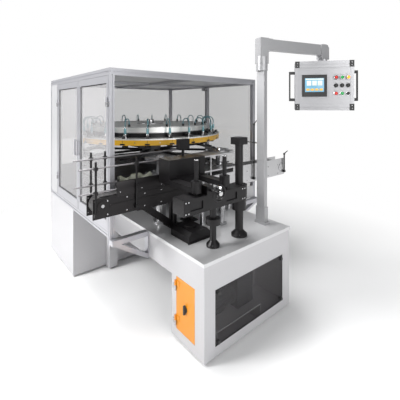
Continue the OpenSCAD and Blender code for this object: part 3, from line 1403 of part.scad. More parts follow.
front_cabinet();
window_panel();
window_knobs();
gear_motor();
cabinet_fittings();
table_top();
bridge_body();
rear_cabinet();
levelling_feet();
enclosure_frame();
fixed_panes();
sheet_panels();
corner_brackets();
door_hardware();
pole();
infeed_frame();
outfeed_frame();
conveyor_belts();
guide_rails();
rail_posts();
columns();
cross_beam();
table_gearbox();
air_cylinders();
turret_base();
centre_guide();
service_door();
door_latch();
left_front_door();
left_front_pane();
left_rear_door();
left_rear_pane();
turret_hub();
head_ring();
head_plate();
test_heads();
seal_cones();
clamp_knobs();
air_drum();
valve_blocks();
air_hoses();
container_plate();
infeed_star();
outfeed_star();
timing_screw();
infeed_roller();
outfeed_roller();
guide_head();
handwheel();
inner_lever();
outer_lever();
swing_arm();
control_box();
box_trim();
selector_1();
selector_2();
selector_3();
stop_button();
start_button();
reset_button();
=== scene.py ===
"""Studio scene of a rotary leak testing machine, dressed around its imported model."""
import logging
import math
from dataclasses import dataclass, field
from enum import Enum

import bmesh
import bpy
from mathutils import Matrix, Vector


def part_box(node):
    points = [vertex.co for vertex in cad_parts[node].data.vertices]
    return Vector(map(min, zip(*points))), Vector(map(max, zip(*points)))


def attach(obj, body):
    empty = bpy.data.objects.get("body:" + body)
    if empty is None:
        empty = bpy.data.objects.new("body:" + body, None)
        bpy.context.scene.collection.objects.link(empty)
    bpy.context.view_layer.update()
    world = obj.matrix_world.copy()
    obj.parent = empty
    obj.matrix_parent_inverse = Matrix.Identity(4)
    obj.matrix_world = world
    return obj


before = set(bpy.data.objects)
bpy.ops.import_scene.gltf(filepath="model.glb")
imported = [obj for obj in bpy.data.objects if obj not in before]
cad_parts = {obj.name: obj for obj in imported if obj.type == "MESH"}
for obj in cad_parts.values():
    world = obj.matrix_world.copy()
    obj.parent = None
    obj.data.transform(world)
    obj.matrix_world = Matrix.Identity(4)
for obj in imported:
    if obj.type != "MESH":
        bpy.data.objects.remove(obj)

LOG = logging.getLogger("leak_tester")
MM = 0.001
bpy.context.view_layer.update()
SITE = Vector((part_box("front_cabinet")[0][0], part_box("front_cabinet")[0][1], 0.0))
WELD = 1e-6
SHARP_ANGLE = math.radians(35.0)
UP = Vector((0.0, 0.0, 1.0))
ALONG = Vector((1.0, 0.0, 0.0))
BACK = Vector((0.0, 1.0, 0.0))
FRONT = Vector((0.0, -1.0, 0.0))
Triple = tuple[float, float, float]
Pair = tuple[float, float]
Tree = bpy.types.NodeTree
Socket = bpy.types.NodeSocket
Inputs = dict[str | int, float | tuple[float, ...] | Socket]


def spot(x: float, y: float, z: float) -> Vector:
    """Point in the row frame, from millimetres at the front cabinet's near corner on the floor."""
    return SITE + Vector((x, y, z)) * MM


def mm(x: float, y: float, z: float) -> Vector:
    """Vector in metres, from millimetres."""
    return Vector((x, y, z)) * MM


def border(width: float, height: float, bar: float, inset: float) -> list[tuple[Pair, Pair]]:
    """Bars round a rectangle.

    Args:
        width: Width of the rectangle.
        height: Its height.
        bar: Thickness of the bars.
        inset: Distance from the rectangle's sides to the bars' centre lines.

    Returns:
        For each bar the offset of its centre, across and up, and its width and height.
    """
    across = width / 2.0 - inset
    up = height / 2.0 - inset
    return [
        ((0.0, -up), (width, bar)), ((0.0, up), (width, bar)),
        ((-across, 0.0), (bar, height)), ((across, 0.0), (bar, height)),
    ]


def feed(tree: Tree, node: bpy.types.Node, inputs: Inputs) -> None:
    """Fills a node's inputs.

    Args:
        tree: The node tree.
        node: One of its nodes.
        inputs: For each input the socket that feeds it, or its value.
    """
    for name, source in inputs.items():
        if isinstance(source, Socket):
            tree.links.new(source, node.inputs[name])
        else:
            node.inputs[name].default_value = source


def add(tree: Tree, kind: str, out: str, inputs: Inputs, **settings: str) -> Socket:
    """Adds a shader node.

    Args:
        tree: The node tree.
        kind: Type of the node.
        out: Name of the output that is used.
        inputs: For each input the socket that feeds it, or its value.
        settings: Settings of the node, made before its inputs are filled.

    Returns:
        The output.
    """
    made = tree.nodes.new(f"ShaderNode{kind}")
    for name, value in settings.items():
        setattr(made, name, value)
    feed(tree, made, inputs)
    return made.outputs[out]


class Grain(Enum):
    """Direction of a finish's pattern, as the scale of its noise along each axis."""

    EVEN = (1.0, 1.0, 1.0)
    BRUSHED = (0.04, 1.0, 1.0)
    TURNED = (0.3, 0.3, 1.0)


@dataclass(frozen=True)
class Finish:
    """One surface finish, with the numbers that its node tree needs."""

    name: str
    colour: Triple
    grain: Grain = Grain.EVEN
    metallic: float = 0.0
    rough: float = 0.45
    spread: float = 0.05
    bump: float = 0.06
    scale: float = 90.0
    coat: float = 0.0
    alpha: float = 1.0
    glow: float = 0.0
    broad_share: float = 0.05
    fine_detail: float = 6.0
    broad_detail: float = 2.0
    least_rough: float = 0.02
    relief: float = 0.0006

    def build(self) -> bpy.types.Material:
        """Makes the node material, or returns it if it exists.

        Returns:
            The material with colour, roughness and relief from procedural noise.
        """
        made = bpy.data.materials.get(self.name)
        if made is not None:
            return made
        material = bpy.data.materials.new(self.name)
        material.use_nodes = True
        tree = material.node_tree
        place = add(tree, "TexCoord", "Object", {})
        place = add(tree, "Mapping", "Vector", {"Vector": place, "Scale": self.grain.value})
        fine, broad = (
            add(tree, "TexNoise", "Fac", {"Vector": place, "Scale": scale, "Detail": detail})
            for scale, detail in (
                (self.scale, self.fine_detail), (self.scale * self.broad_share, self.broad_detail)
            )
        )
        half = add(tree, "Math", "Value", {0: broad, 1: 0.5}, operation="MULTIPLY")
        mean = {0: fine, 1: 0.5, 2: half}
        tones = {
            "Factor": add(tree, "Math", "Value", mean, operation="MULTIPLY_ADD"),
            "A": (*self.shade(1.0 - self.spread), 1.0),
            "B": (*self.shade(1.0 + self.spread), 1.0),
        }
        swing = 2.0 * self.spread * self.rough
        polish = {
            "Value": broad,
            "To Min": max(self.least_rough, self.rough - swing),
            "To Max": min(1.0, self.rough + swing),
        }
        inputs = {
            "Metallic": self.metallic,
            "Coat Weight": self.coat,
            "Alpha": self.alpha,
            "Emission Strength": self.glow,
            "Emission Color": (*self.colour, 1.0),
            "Base Color": add(tree, "Mix", "Result", tones, data_type="RGBA"),
            "Roughness": add(tree, "MapRange", "Result", polish),
        }
        if self.bump > 0.0:
            relief = {"Strength": self.bump, "Distance": self.relief, "Height": fine}
            inputs["Normal"] = add(tree, "Bump", "Normal", relief)
        feed(tree, tree.nodes["Principled BSDF"], inputs)
        return material

    def shade(self, factor: float) -> Triple:
        """The base colour made lighter or darker by a factor."""
        return tuple(min(1.0, channel * factor) for channel in self.colour)


CABINET = Finish(
    "cabinet_powder_coat", (0.56, 0.555, 0.57),
    rough=0.42, spread=0.03, bump=0.08, scale=900.0, coat=0.15,
)
STAINLESS = Finish(
    "stainless_sheet", (0.6, 0.6, 0.61),
    grain=Grain.BRUSHED, metallic=0.9, rough=0.34, spread=0.1, bump=0.12, scale=700.0,
)
TABLE_STEEL = Finish(
    "table_top_steel", (0.7, 0.7, 0.71),
    grain=Grain.BRUSHED, metallic=0.45, rough=0.3, spread=0.06, bump=0.1, scale=500.0,
)
PROFILE = Finish(
    "anodised_profile", (0.52, 0.52, 0.55),
    grain=Grain.TURNED, metallic=0.55, rough=0.38, spread=0.04, bump=0.05, scale=600.0,
)
PANEL_GREY = Finish(
    "panel_grey", (0.55, 0.55, 0.56), metallic=0.2, rough=0.4, spread=0.04, scale=700.0,
)
TINTED = Finish(
    "tinted_panel", (0.1, 0.098, 0.1), rough=0.1, spread=0.06, bump=0.0, scale=4.0, alpha=0.5,
)
WINDOW = Finish(
    "window_panel_clear", (0.035, 0.03, 0.033), rough=0.06, bump=0.0, scale=4.0, alpha=0.34,
)
BLACK_METAL = Finish(
    "black_machined_metal", (0.011, 0.01, 0.011),
    grain=Grain.TURNED, metallic=0.3, rough=0.36, spread=0.2, bump=0.14, scale=500.0,
)
SLATE_METAL = Finish(
    "dark_side_plate", (0.02, 0.018, 0.019),
    grain=Grain.BRUSHED, metallic=0.5, rough=0.36, spread=0.15, bump=0.12, scale=500.0,
)
GREY_CAST = Finish(
    "grey_casting", (0.26, 0.26, 0.27), metallic=0.5, rough=0.5, spread=0.12, bump=0.4, scale=420.0,
)
STEEL = Finish(
    "turned_steel", (0.52, 0.52, 0.53),
    grain=Grain.TURNED, metallic=0.95, rough=0.24, spread=0.08, bump=0.05, scale=700.0,
)
RAIL_STEEL = Finish(
    "rail_steel_grey", (0.3, 0.29, 0.3),
    grain=Grain.TURNED, metallic=0.8, rough=0.34, spread=0.08, bump=0.05, scale=700.0,
)
CHROME = Finish(
    "chromed_steel", (0.72, 0.72, 0.73),
    grain=Grain.TURNED, metallic=1.0, rough=0.09, spread=0.03, bump=0.0, scale=500.0,
)
POLE = Finish(
    "pole_satin_grey", (0.43, 0.43, 0.44),
    metallic=0.3, rough=0.38, spread=0.03, bump=0.08, scale=900.0, coat=0.1,
)
BOX_GREY = Finish(
    "box_satin_grey", (0.5, 0.5, 0.515),
    metallic=0.35, rough=0.36, spread=0.03, scale=900.0, coat=0.1,
)
BLACK_PLASTIC = Finish(
    "black_plastic", (0.018, 0.018, 0.019), rough=0.42, spread=0.1, bump=0.1, scale=900.0,
)
DOOR_YELLOW = Finish(
    "door_yellow_coat", (0.78, 0.285, 0.006),
    rough=0.36, spread=0.03, bump=0.08, scale=900.0, coat=0.25,
)
RIM_YELLOW = Finish(
    "rim_yellow_coat", (0.74, 0.41, 0.02),
    metallic=0.15, rough=0.36, bump=0.05, scale=700.0, coat=0.2,
)
WHITE_COAT = Finish(
    "white_coat", (0.8, 0.8, 0.79), rough=0.35, spread=0.02, bump=0.04, scale=800.0, coat=0.2,
)
SEAL = Finish("seal_rubber", (0.02, 0.02, 0.021), rough=0.7, spread=0.15, bump=0.2, scale=900.0)
HOSE = Finish("air_hose_teal", (0.1, 0.22, 0.25), rough=0.3, spread=0.06, bump=0.04, scale=600.0)
TEAL_BODY = Finish(
    "air_cylinder_teal", (0.2, 0.4, 0.44),
    grain=Grain.TURNED, metallic=0.3, rough=0.25, bump=0.04, scale=600.0, coat=0.2,
)
BELT = Finish("slat_belt_grey", (0.075, 0.072, 0.073), spread=0.12, bump=0.12, scale=700.0)
SCREW = Finish(
    "screw_pale_plastic", (0.3, 0.31, 0.25), rough=0.4, spread=0.03, bump=0.04, scale=500.0,
)
MOTOR = Finish(
    "motor_grey_blue", (0.045, 0.048, 0.055), metallic=0.2, spread=0.1, bump=0.3, scale=420.0,
)
TERMINAL_GREEN = Finish(
    "terminal_green", (0.2, 0.26, 0.05), rough=0.4, spread=0.08, bump=0.05, scale=500.0,
)
RED_CAP = Finish(
    "red_cap", (0.62, 0.022, 0.018), rough=0.26, spread=0.03, bump=0.02, scale=500.0, coat=0.3,
)
GREEN_CAP = Finish(
    "green_cap", (0.02, 0.33, 0.08), rough=0.26, spread=0.03, bump=0.02, scale=500.0, coat=0.3,
)
AMBER_LIT = Finish(
    "amber_lamp_lit", (1.0, 0.32, 0.02), rough=0.3, spread=0.03, bump=0.0, scale=300.0, glow=1.2,
)
SCREEN_BLUE = Finish(
    "screen_lit_blue", (0.16, 0.36, 0.5), rough=0.2, spread=0.04, bump=0.0, scale=40.0, glow=0.55,
)
SCREEN_PALE = Finish(
    "screen_tile_pale", (0.66, 0.72, 0.66), rough=0.2, spread=0.03, bump=0.0, scale=40.0, glow=0.4,
)
SCREEN_WARM = Finish(
    "screen_tile_warm", (0.8, 0.45, 0.08), rough=0.2, spread=0.03, bump=0.0, scale=40.0, glow=0.4,
)

FINISH_NODES: dict[Finish, tuple[str, ...]] = {
    CABINET: ("front_cabinet", "bridge_body", "rear_cabinet"),
    WINDOW: ("window_panel",),
    BLACK_PLASTIC: (
        "window_knobs", "levelling_feet", "door_latch", "clamp_knobs", "inner_lever",
        "outer_lever", "box_trim", "selector_1", "selector_2", "selector_3", "reset_button",
    ),
    MOTOR: ("gear_motor",),
    PANEL_GREY: ("cabinet_fittings", "sheet_panels"),
    TABLE_STEEL: ("table_top",),
    PROFILE: ("enclosure_frame", "corner_brackets", "left_front_door", "left_rear_door"),
    TINTED: ("fixed_panes", "left_front_pane", "left_rear_pane"),
    STEEL: (
        "door_hardware", "air_cylinders", "test_heads", "outfeed_star", "infeed_roller",
        "outfeed_roller",
    ),
    POLE: ("pole", "swing_arm"),
    SLATE_METAL: ("infeed_frame", "container_plate"),
    STAINLESS: ("outfeed_frame", "centre_guide"),
    BELT: ("conveyor_belts",),
    RAIL_STEEL: ("guide_rails",),
    BLACK_METAL: (
        "rail_posts", "columns", "cross_beam", "table_gearbox", "valve_blocks", "guide_head",
        "handwheel",
    ),
    GREY_CAST: ("turret_base", "turret_hub", "infeed_star"),
    DOOR_YELLOW: ("service_door",),
    RIM_YELLOW: ("head_ring",),
    WHITE_COAT: ("head_plate", "air_drum"),
    SEAL: ("seal_cones",),
    HOSE: ("air_hoses",),
    SCREW: ("timing_screw",),
    BOX_GREY: ("control_box",),
    RED_CAP: ("stop_button",),
    GREEN_CAP: ("start_button",),
}


@dataclass(frozen=True)
class Cut:
    """Measures of a block in mm: its size along each axis and the bevel of its edges."""

    size: Triple
    edge: float


@dataclass(frozen=True)
class Row:
    """A row of equal blocks along X: their form, the first one's place and their pitch in mm."""

    form: Cut
    first: Triple
    pitch: float = 0.0
    count: int = 1

    def places(self) -> list[Triple]:
        """Places of the blocks."""
        x, y, z = self.first
        return [(x + self.pitch * i, y, z) for i in range(self.count)]


@dataclass(frozen=True)
class Turned:
    """Measures of a cylinder in mm, with the bevel of its ends, and its number of sides."""

    radius: float
    length: float
    edge: float
    sides: int


@dataclass(frozen=True)
class Ring:
    """Measures of a wire ring in mm: its centreline's radius and its section's, and its steps."""

    radius: float
    wire: float
    steps: int = 48
    section: int = 10


class Piece:
    """A mesh piece under construction, placed in metres in the row frame."""

    def __init__(self, name: str) -> None:
        """Starts an empty piece of that name."""
        self.name = name
        self.mesh = bmesh.new()

    def soften(self, edges: list[bmesh.types.BMEdge], width: float) -> None:
        """Bevels edges by a width in mm, with two segments.

        Args:
            edges: The edges.
            width: Width of the bevel, 0 for sharp edges.
        """
        if width > 0.0:
            bmesh.ops.bevel(
                self.mesh, geom=edges, offset=width * MM, affect="EDGES", segments=2,
                profile=0.5, material=-1,
            )

    @staticmethod
    def edges(made: dict[str, list]) -> list[bmesh.types.BMEdge]:
        """Edges at the vertices that an operator made, each once."""
        return list(dict.fromkeys(edge for vert in made["verts"] for edge in vert.link_edges))

    def block(self, centre: Vector, form: Cut, turn: Matrix | None = None) -> None:
        """Adds a block with rounded edges.

        Args:
            centre: Centre of the block.
            form: Its measures.
            turn: Rotation about the block's own centre.
        """
        scale = Matrix.Diagonal((*mm(*form.size), 1.0))
        place = Matrix.Translation(centre) @ (turn or Matrix()) @ scale
        made = bmesh.ops.create_cube(self.mesh, size=1.0, matrix=place)
        self.soften(self.edges(made), form.edge)

    def rod(self, centre: Vector, axis: Vector, form: Turned) -> None:
        """Adds a cylinder with its ends bevelled.

        Args:
            centre: Middle of its axis.
            axis: Direction of its axis.
            form: Its measures.
        """
        radius = form.radius * MM
        made = bmesh.ops.create_cone(
            self.mesh, cap_ends=True, segments=form.sides, radius1=radius, radius2=radius,
            depth=form.length * MM, matrix=Matrix.Translation(centre) @ self.turn_to(axis),
        )
        # Only the two end caps have more than four corners.
        rims = [e for e in self.edges(made) if any(len(f.verts) > 4 for f in e.link_faces)]
        self.soften(rims, form.edge)

    def dome(self, centre: Vector, axis: Vector, radius: float, height: float) -> None:
        """Adds a flattened ball, for lamp lenses.

        Args:
            centre: Centre of the ball.
            axis: Direction in which it is flattened.
            radius: Radius across the axis, in mm.
            height: Half its height along the axis, in mm.
        """
        scale = Matrix.Diagonal((*mm(radius, radius, height), 1.0))
        bmesh.ops.create_uvsphere(
            self.mesh, u_segments=24, v_segments=12, radius=1.0,
            matrix=Matrix.Translation(centre) @ self.turn_to(axis) @ scale,
        )

    def hoop(self, centre: Vector, axis: Vector, form: Ring) -> None:
        """Adds a closed ring of round section.

        Args:
            centre: Centre of the ring.
            axis: Normal of its plane.
            form: Its measures.
        """
        normal = axis.normalized()
        side = normal.orthogonal().normalized()
        place = Matrix.Translation(centre + side * (form.radius * MM))
        made = bmesh.ops.create_circle(
            self.mesh, cap_ends=False, segments=form.section, radius=form.wire * MM,
            matrix=place @ self.turn_to(normal.cross(side)),
        )
        bmesh.ops.spin(
            self.mesh, geom=made["verts"] + self.edges(made), cent=centre, axis=normal,
            angle=math.tau, steps=form.steps, use_merge=True,
        )

    @staticmethod
    def turn_to(axis: Vector) -> Matrix:
        """Rotation that takes the vertical to an axis."""
        return UP.rotation_difference(axis.normalized()).to_matrix().to_4x4()

    def done(self, finish: Finish, body: str) -> None:
        """Closes the piece and puts it in the scene.

        Args:
            finish: Its surface finish.
            body: The moving body that it rides on.
        """
        bmesh.ops.remove_doubles(self.mesh, verts=self.mesh.verts, dist=WELD)
        bmesh.ops.recalc_face_normals(self.mesh, faces=self.mesh.faces)
        data = bpy.data.meshes.new(self.name)
        self.mesh.to_mesh(data)
        self.mesh.free()
        data.shade_smooth()
        data.set_sharp_from_angle(angle=SHARP_ANGLE)
        made = bpy.data.objects.new(self.name, data)
        bpy.context.scene.collection.objects.link(made)
        data.materials.append(finish.build())
        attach(made, body)
        LOG.info("%s: %d faces on %s", self.name, len(data.polygons), body)


@dataclass
class ControlPanel:
    """Screen, lamps and trim on the pendant's box, with lengths in mm and angles in degrees."""

    arm_length: float = 720.0
    arm_angle: float = -16.0
    box_angle: float = -53.0
    width: float = 531.0
    height: float = 474.0
    face: float = -80.0
    screen_at: Pair = (-0.165, 0.5)
    columns: Triple = (0.2, 0.3, 0.4)
    lamp_row: float = 0.66
    selector_row: float = 0.5
    button_row: float = 0.34
    glass: Row = Row(Cut((172, 2, 132), 0.6), (0, -8.6, 6))
    tiles: Row = Row(Cut((40, 1, 46), 0.3), (-50, -9.8, 24), 50, 3)
    banner: Row = Row(Cut((160, 1, 12), 0.3), (0, -9.8, 62))
    keys: Row = Row(Cut((30, 1, 20), 0.3), (-60, -9.8, -38), 40, 4)
    lip_size: Pair = (222, 206)
    lip_bar: float = 5.0
    lip_inset: float = 1.0
    lip_depth: float = 2.4
    lip_edge: float = 0.8
    lens_out: float = 18.0
    lens_radius: float = 14.5
    lens_height: float = 7.0
    lamp_ring: Ring = Ring(17.6, 1.8)
    lamp_ring_out: float = 16.5
    button_ring: Ring = Ring(17, 1.9)
    button_ring_out: float = 1.6
    label: Cut = Cut((30, 1.2, 9), 0.4)
    label_out: float = 0.5
    label_rise: float = 31.0
    screw: Turned = Turned(4.2, 3, 0.6, 20)
    screw_out: float = 7.2
    screw_inset: float = 21.0
    screw_rises: Pair = (20, 46)
    origin: Vector = field(init=False)
    base_z: float = field(init=False)

    def __post_init__(self) -> None:
        """Finds the box's swivel axis from the pole and its lower edge from its corners."""
        low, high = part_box("pole")
        pole = (Vector(low) + Vector(high)) / 2.0
        reach = Matrix.Rotation(math.radians(self.arm_angle), 4, "Z") @ mm(self.arm_length, 0, 0)
        self.origin = Vector((pole.x, pole.y, 0.0)) + reach
        self.base_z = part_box("box_trim")[0][2]

    def turn(self) -> Matrix:
        """Rotation of the box about the vertical."""
        return Matrix.Rotation(math.radians(self.box_angle), 4, "Z")

    def at(self, x: float, y: float, z: float) -> Vector:
        """Point of the box, from millimetres along its width and depth and above its lower edge."""
        return self.origin + self.turn() @ mm(x, y, z) + UP * self.base_z

    def outward(self) -> Vector:
        """Direction out of the front panel."""
        return self.turn() @ FRONT

    def on_screen(self, x: float, y: float, z: float) -> Vector:
        """Point of the screen, from its middle on the front panel."""
        across, up = self.screen_at
        return self.at(across * self.width + x, self.face + y, up * self.height + z)

    def control(self, column: float, row: float, out: float) -> Vector:
        """Centre of a control, a distance in millimetres out of the panel."""
        return self.at(column * self.width, self.face - out, row * self.height)

    def build(self) -> None:
        """Makes the pieces of the panel."""
        self.screen()
        self.lamps()
        self.rings()
        self.labels()
        self.screws()

    def screen(self) -> None:
        """Lit screen in its bezel, with plain fields on it."""
        for name, rows, finish in (
            ("lit_screen", (self.glass,), SCREEN_BLUE),
            ("screen_fields", (self.tiles, self.banner), SCREEN_PALE),
            ("screen_keys", (self.keys,), SCREEN_WARM),
        ):
            piece = Piece(name)
            for row in rows:
                for place in row.places():
                    piece.block(self.on_screen(*place), row.form, self.turn())
            piece.done(finish, "control_box")
        lip = Piece("screen_lip")
        depth = self.glass.first[1]
        for (x, z), (wide, high) in border(*self.lip_size, self.lip_bar, self.lip_inset):
            form = Cut((wide, self.lip_depth, high), self.lip_edge)
            lip.block(self.on_screen(x, depth, z), form, self.turn())
        lip.done(BLACK_PLASTIC, "control_box")

    def lamps(self) -> None:
        """Lenses of the pilot lamps in the top row."""
        for number, finish in enumerate((RED_CAP, GREEN_CAP, AMBER_LIT), 1):
            lens = Piece(f"lamp_lens_{number}")
            place = self.control(self.columns[number - 1], self.lamp_row, self.lens_out)
            lens.dome(place, self.outward(), self.lens_radius, self.lens_height)
            lens.done(finish, "control_box")

    def rings(self) -> None:
        """Bright collars round the lamps and the pushbuttons."""
        collars = Piece("control_collars")
        for column in self.columns:
            for row, out, ring in (
                (self.lamp_row, self.lamp_ring_out, self.lamp_ring),
                (self.button_row, self.button_ring_out, self.button_ring),
            ):
                collars.hoop(self.control(column, row, out), self.outward(), ring)
        collars.done(CHROME, "control_box")

    def labels(self) -> None:
        """Bare label strips above the controls."""
        strips = Piece("label_strips")
        for column in self.columns:
            for row in (self.lamp_row, self.selector_row, self.button_row):
                place = self.control(column, row, self.label_out) + mm(0, 0, self.label_rise)
                strips.block(place, self.label, self.turn())
        strips.done(PANEL_GREY, "control_box")

    def screws(self) -> None:
        """Socket screws in the black corners."""
        heads = Piece("corner_screws")
        across = self.width / 2 - self.screw_inset
        for x in (-across, across):
            for rise in self.screw_rises:
                for z in (rise, self.height - rise):
                    place = self.at(x, self.face - self.screw_out, z)
                    heads.rod(place, self.outward(), self.screw)
        heads.done(STEEL, "control_box")


@dataclass
class TurretDress:
    """Fittings, screws and springs of the rotating turret, with lengths in mm."""

    stations: int = 22
    first_station: float = 2.0
    pitch: float = 740.0
    rim: float = 805.0
    hose_circle: float = 640.0
    drum_collet: Turned = Turned(8, 12, 1, 16)
    drum_collet_rise: float = 30.0
    head_collet: Turned = Turned(8, 16, 1, 16)
    head_collet_rise: float = 42.0
    cylinder: Turned = Turned(12, 54, 1, 20)
    cylinder_rise: float = 66.0
    cylinder_end: Turned = Turned(13.5, 6, 1, 20)
    cylinder_end_rises: Pair = (37, 95)
    rim_screw: Turned = Turned(5, 4, 0.7, 16)
    rim_screw_set: float = 1.4
    deck_screw: Turned = Turned(6, 5, 0.7, 16)
    deck_screw_circle: float = 620.0
    deck_screw_rise: float = 2.5
    shade_line_width: float = 3.0
    shade_line_share: float = 0.98
    shade_line_set: float = 0.6
    plate_depth: float = 4.0
    plate_width: float = 46.0
    plate_share: float = 0.3
    plate_set: float = 0.4
    plate_edge: float = 1.2
    coil: Ring = Ring(12, 1.3, 14)
    coils: int = 4
    coil_pitch: float = 5.5
    coil_rise: float = 14.0
    coil_lean: float = 0.12
    drum_fold: Ring = Ring(666.5, 2, 160)
    drum_fold_set: float = 4.0
    cover_ring: Ring = Ring(150, 4, 96)
    cover: Turned = Turned(146, 6, 2, 96)
    cover_rise: float = 3.0
    union: Turned = Turned(42, 40, 4, 48)
    union_rise: float = 26.0
    valve: Cut = Cut((34, 26, 30), 2)
    valve_circle: float = 693.0
    valve_rise: float = 15.0
    axis: Vector = field(init=False)
    deck_z: float = field(init=False)
    drum_top: float = field(init=False)
    rim_z: Pair = field(init=False)

    def __post_init__(self) -> None:
        """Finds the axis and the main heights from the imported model."""
        low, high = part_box("head_ring")
        self.axis = Vector(((low[0] + high[0]) / 2, (low[1] + high[1]) / 2, 0.0))
        self.rim_z = (low[2], high[2])
        self.deck_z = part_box("head_plate")[1][2]
        self.drum_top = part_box("air_drum")[1][2]

    def at(self, radius: float, angle: float, z: float) -> Vector:
        """Point at a radius in millimetres, an angle in radians and a height in metres."""
        return self.axis + self.outward(angle) * (radius * MM) + UP * z

    def on_deck(self, radius: float, angle: float, rise: float) -> Vector:
        """Point at a radius and a height in millimetres above the head plate."""
        return self.at(radius, angle, self.deck_z + rise * MM)

    @staticmethod
    def outward(angle: float) -> Vector:
        """Direction away from the axis at an angle in radians."""
        return Vector((math.cos(angle), math.sin(angle), 0.0))

    def angles(self, share: float = 0.0) -> list[float]:
        """Angles of the stations, moved on by a share of a station."""
        step = math.tau / self.stations
        return [
            (self.first_station + share + i) * step - math.pi / 2 for i in range(self.stations)
        ]

    def build(self) -> None:
        """Makes the pieces of the turret."""
        self.collets()
        self.cylinders()
        self.rim_screws()
        self.rim_painted_shade()
        self.springs()
        self.drum_trim()
        self.valves()

    def collets(self) -> None:
        """Push-in fittings where each hose meets the drum and its head."""
        collets = Piece("hose_collets")
        drum_z = self.drum_top + self.drum_collet_rise * MM
        for angle in self.angles():
            collets.rod(self.at(self.hose_circle, angle, drum_z), UP, self.drum_collet)
            place = self.on_deck(self.pitch, angle, self.head_collet_rise)
            collets.rod(place, UP, self.head_collet)
        collets.done(HOSE, "turret")

    def cylinders(self) -> None:
        """Small air cylinder on each hose's way down to its head, with bright ends."""
        bodies = Piece("air_cylinder_bodies")
        ends = Piece("air_cylinder_ends")
        for angle in self.angles():
            place = self.on_deck(self.pitch, angle, self.cylinder_rise)
            bodies.rod(place, UP, self.cylinder)
            for rise in self.cylinder_end_rises:
                ends.rod(self.on_deck(self.pitch, angle, rise), UP, self.cylinder_end)
        bodies.done(TEAL_BODY, "turret")
        ends.done(CHROME, "turret")

    def rim_screws(self) -> None:
        """Socket screws round the yellow rim and on the head plate."""
        screws = Piece("rim_screws")
        middle = sum(self.rim_z) / 2
        for angle in self.angles(0.5):
            place = self.at(self.rim - self.rim_screw_set, angle, middle)
            screws.rod(place, self.outward(angle), self.rim_screw)
            place = self.on_deck(self.deck_screw_circle, angle, self.deck_screw_rise)
            screws.rod(place, UP, self.deck_screw)
        screws.done(STEEL, "turret")

    def rim_painted_shade(self) -> None:
        """Dark lines and black plates at each station round the yellow rim, painted shade for its
        darker sections.
        """
        shade_lines = Piece("rim_painted_shade")
        shade_plates = Piece("rim_painted_shade_plates")
        middle = sum(self.rim_z) / 2
        height = self.rim_z[1] - self.rim_z[0]
        shade_line = Cut((self.shade_line_width, self.shade_line_width, height / MM * self.shade_line_share), 0.0)
        size = (self.plate_depth, self.plate_width, height / MM * self.plate_share)
        plate = Cut(size, self.plate_edge)
        # Painted shade: a dark line and a black plate at each station darken the rim where it lies
        # in shade.
        for angle in self.angles():
            turn = Matrix.Rotation(angle, 4, "Z")
            shade_lines.block(self.at(self.rim - self.shade_line_set, angle, middle), shade_line, turn)
            low = middle - height * self.plate_share
            shade_plates.block(self.at(self.rim - self.plate_set, angle, low), plate, turn)
        shade_lines.done(SEAL, "turret")
        shade_plates.done(BLACK_METAL, "turret")

    def springs(self) -> None:
        """Return springs above the head plate, each a stack of rings."""
        springs = Piece("head_springs")
        lean = Vector((self.coil_lean, 0.0, 1.0))
        for angle in self.angles():
            for i in range(self.coils):
                rise = self.coil_rise + self.coil_pitch * i
                springs.hoop(self.on_deck(self.pitch, angle, rise), lean, self.coil)
        springs.done(CHROME, "turret")

    def drum_trim(self) -> None:
        """Fold lines, cover plate and air union on the white air drum."""
        trim = Piece("drum_trim")
        fold = self.drum_fold_set * MM
        for z in (self.drum_top - fold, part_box("air_drum")[0][2] + fold):
            trim.hoop(self.axis + UP * z, UP, self.drum_fold)
        trim.hoop(self.axis + UP * self.drum_top, UP, self.cover_ring)
        trim.done(STEEL, "turret")
        plate = Piece("drum_cover_plate")
        for form, rise in ((self.cover, self.cover_rise), (self.union, self.union_rise)):
            plate.rod(self.axis + UP * (self.drum_top + rise * MM), UP, form)
        plate.done(STEEL, "turret")

    def valves(self) -> None:
        """Black valve bodies standing on the head plate between the knobs and the drum."""
        valves = Piece("valve_bodies")
        for angle in self.angles():
            place = self.on_deck(self.valve_circle, angle, self.valve_rise)
            valves.block(place, self.valve, Matrix.Rotation(angle, 4, "Z"))
        valves.done(BLACK_METAL, "turret")


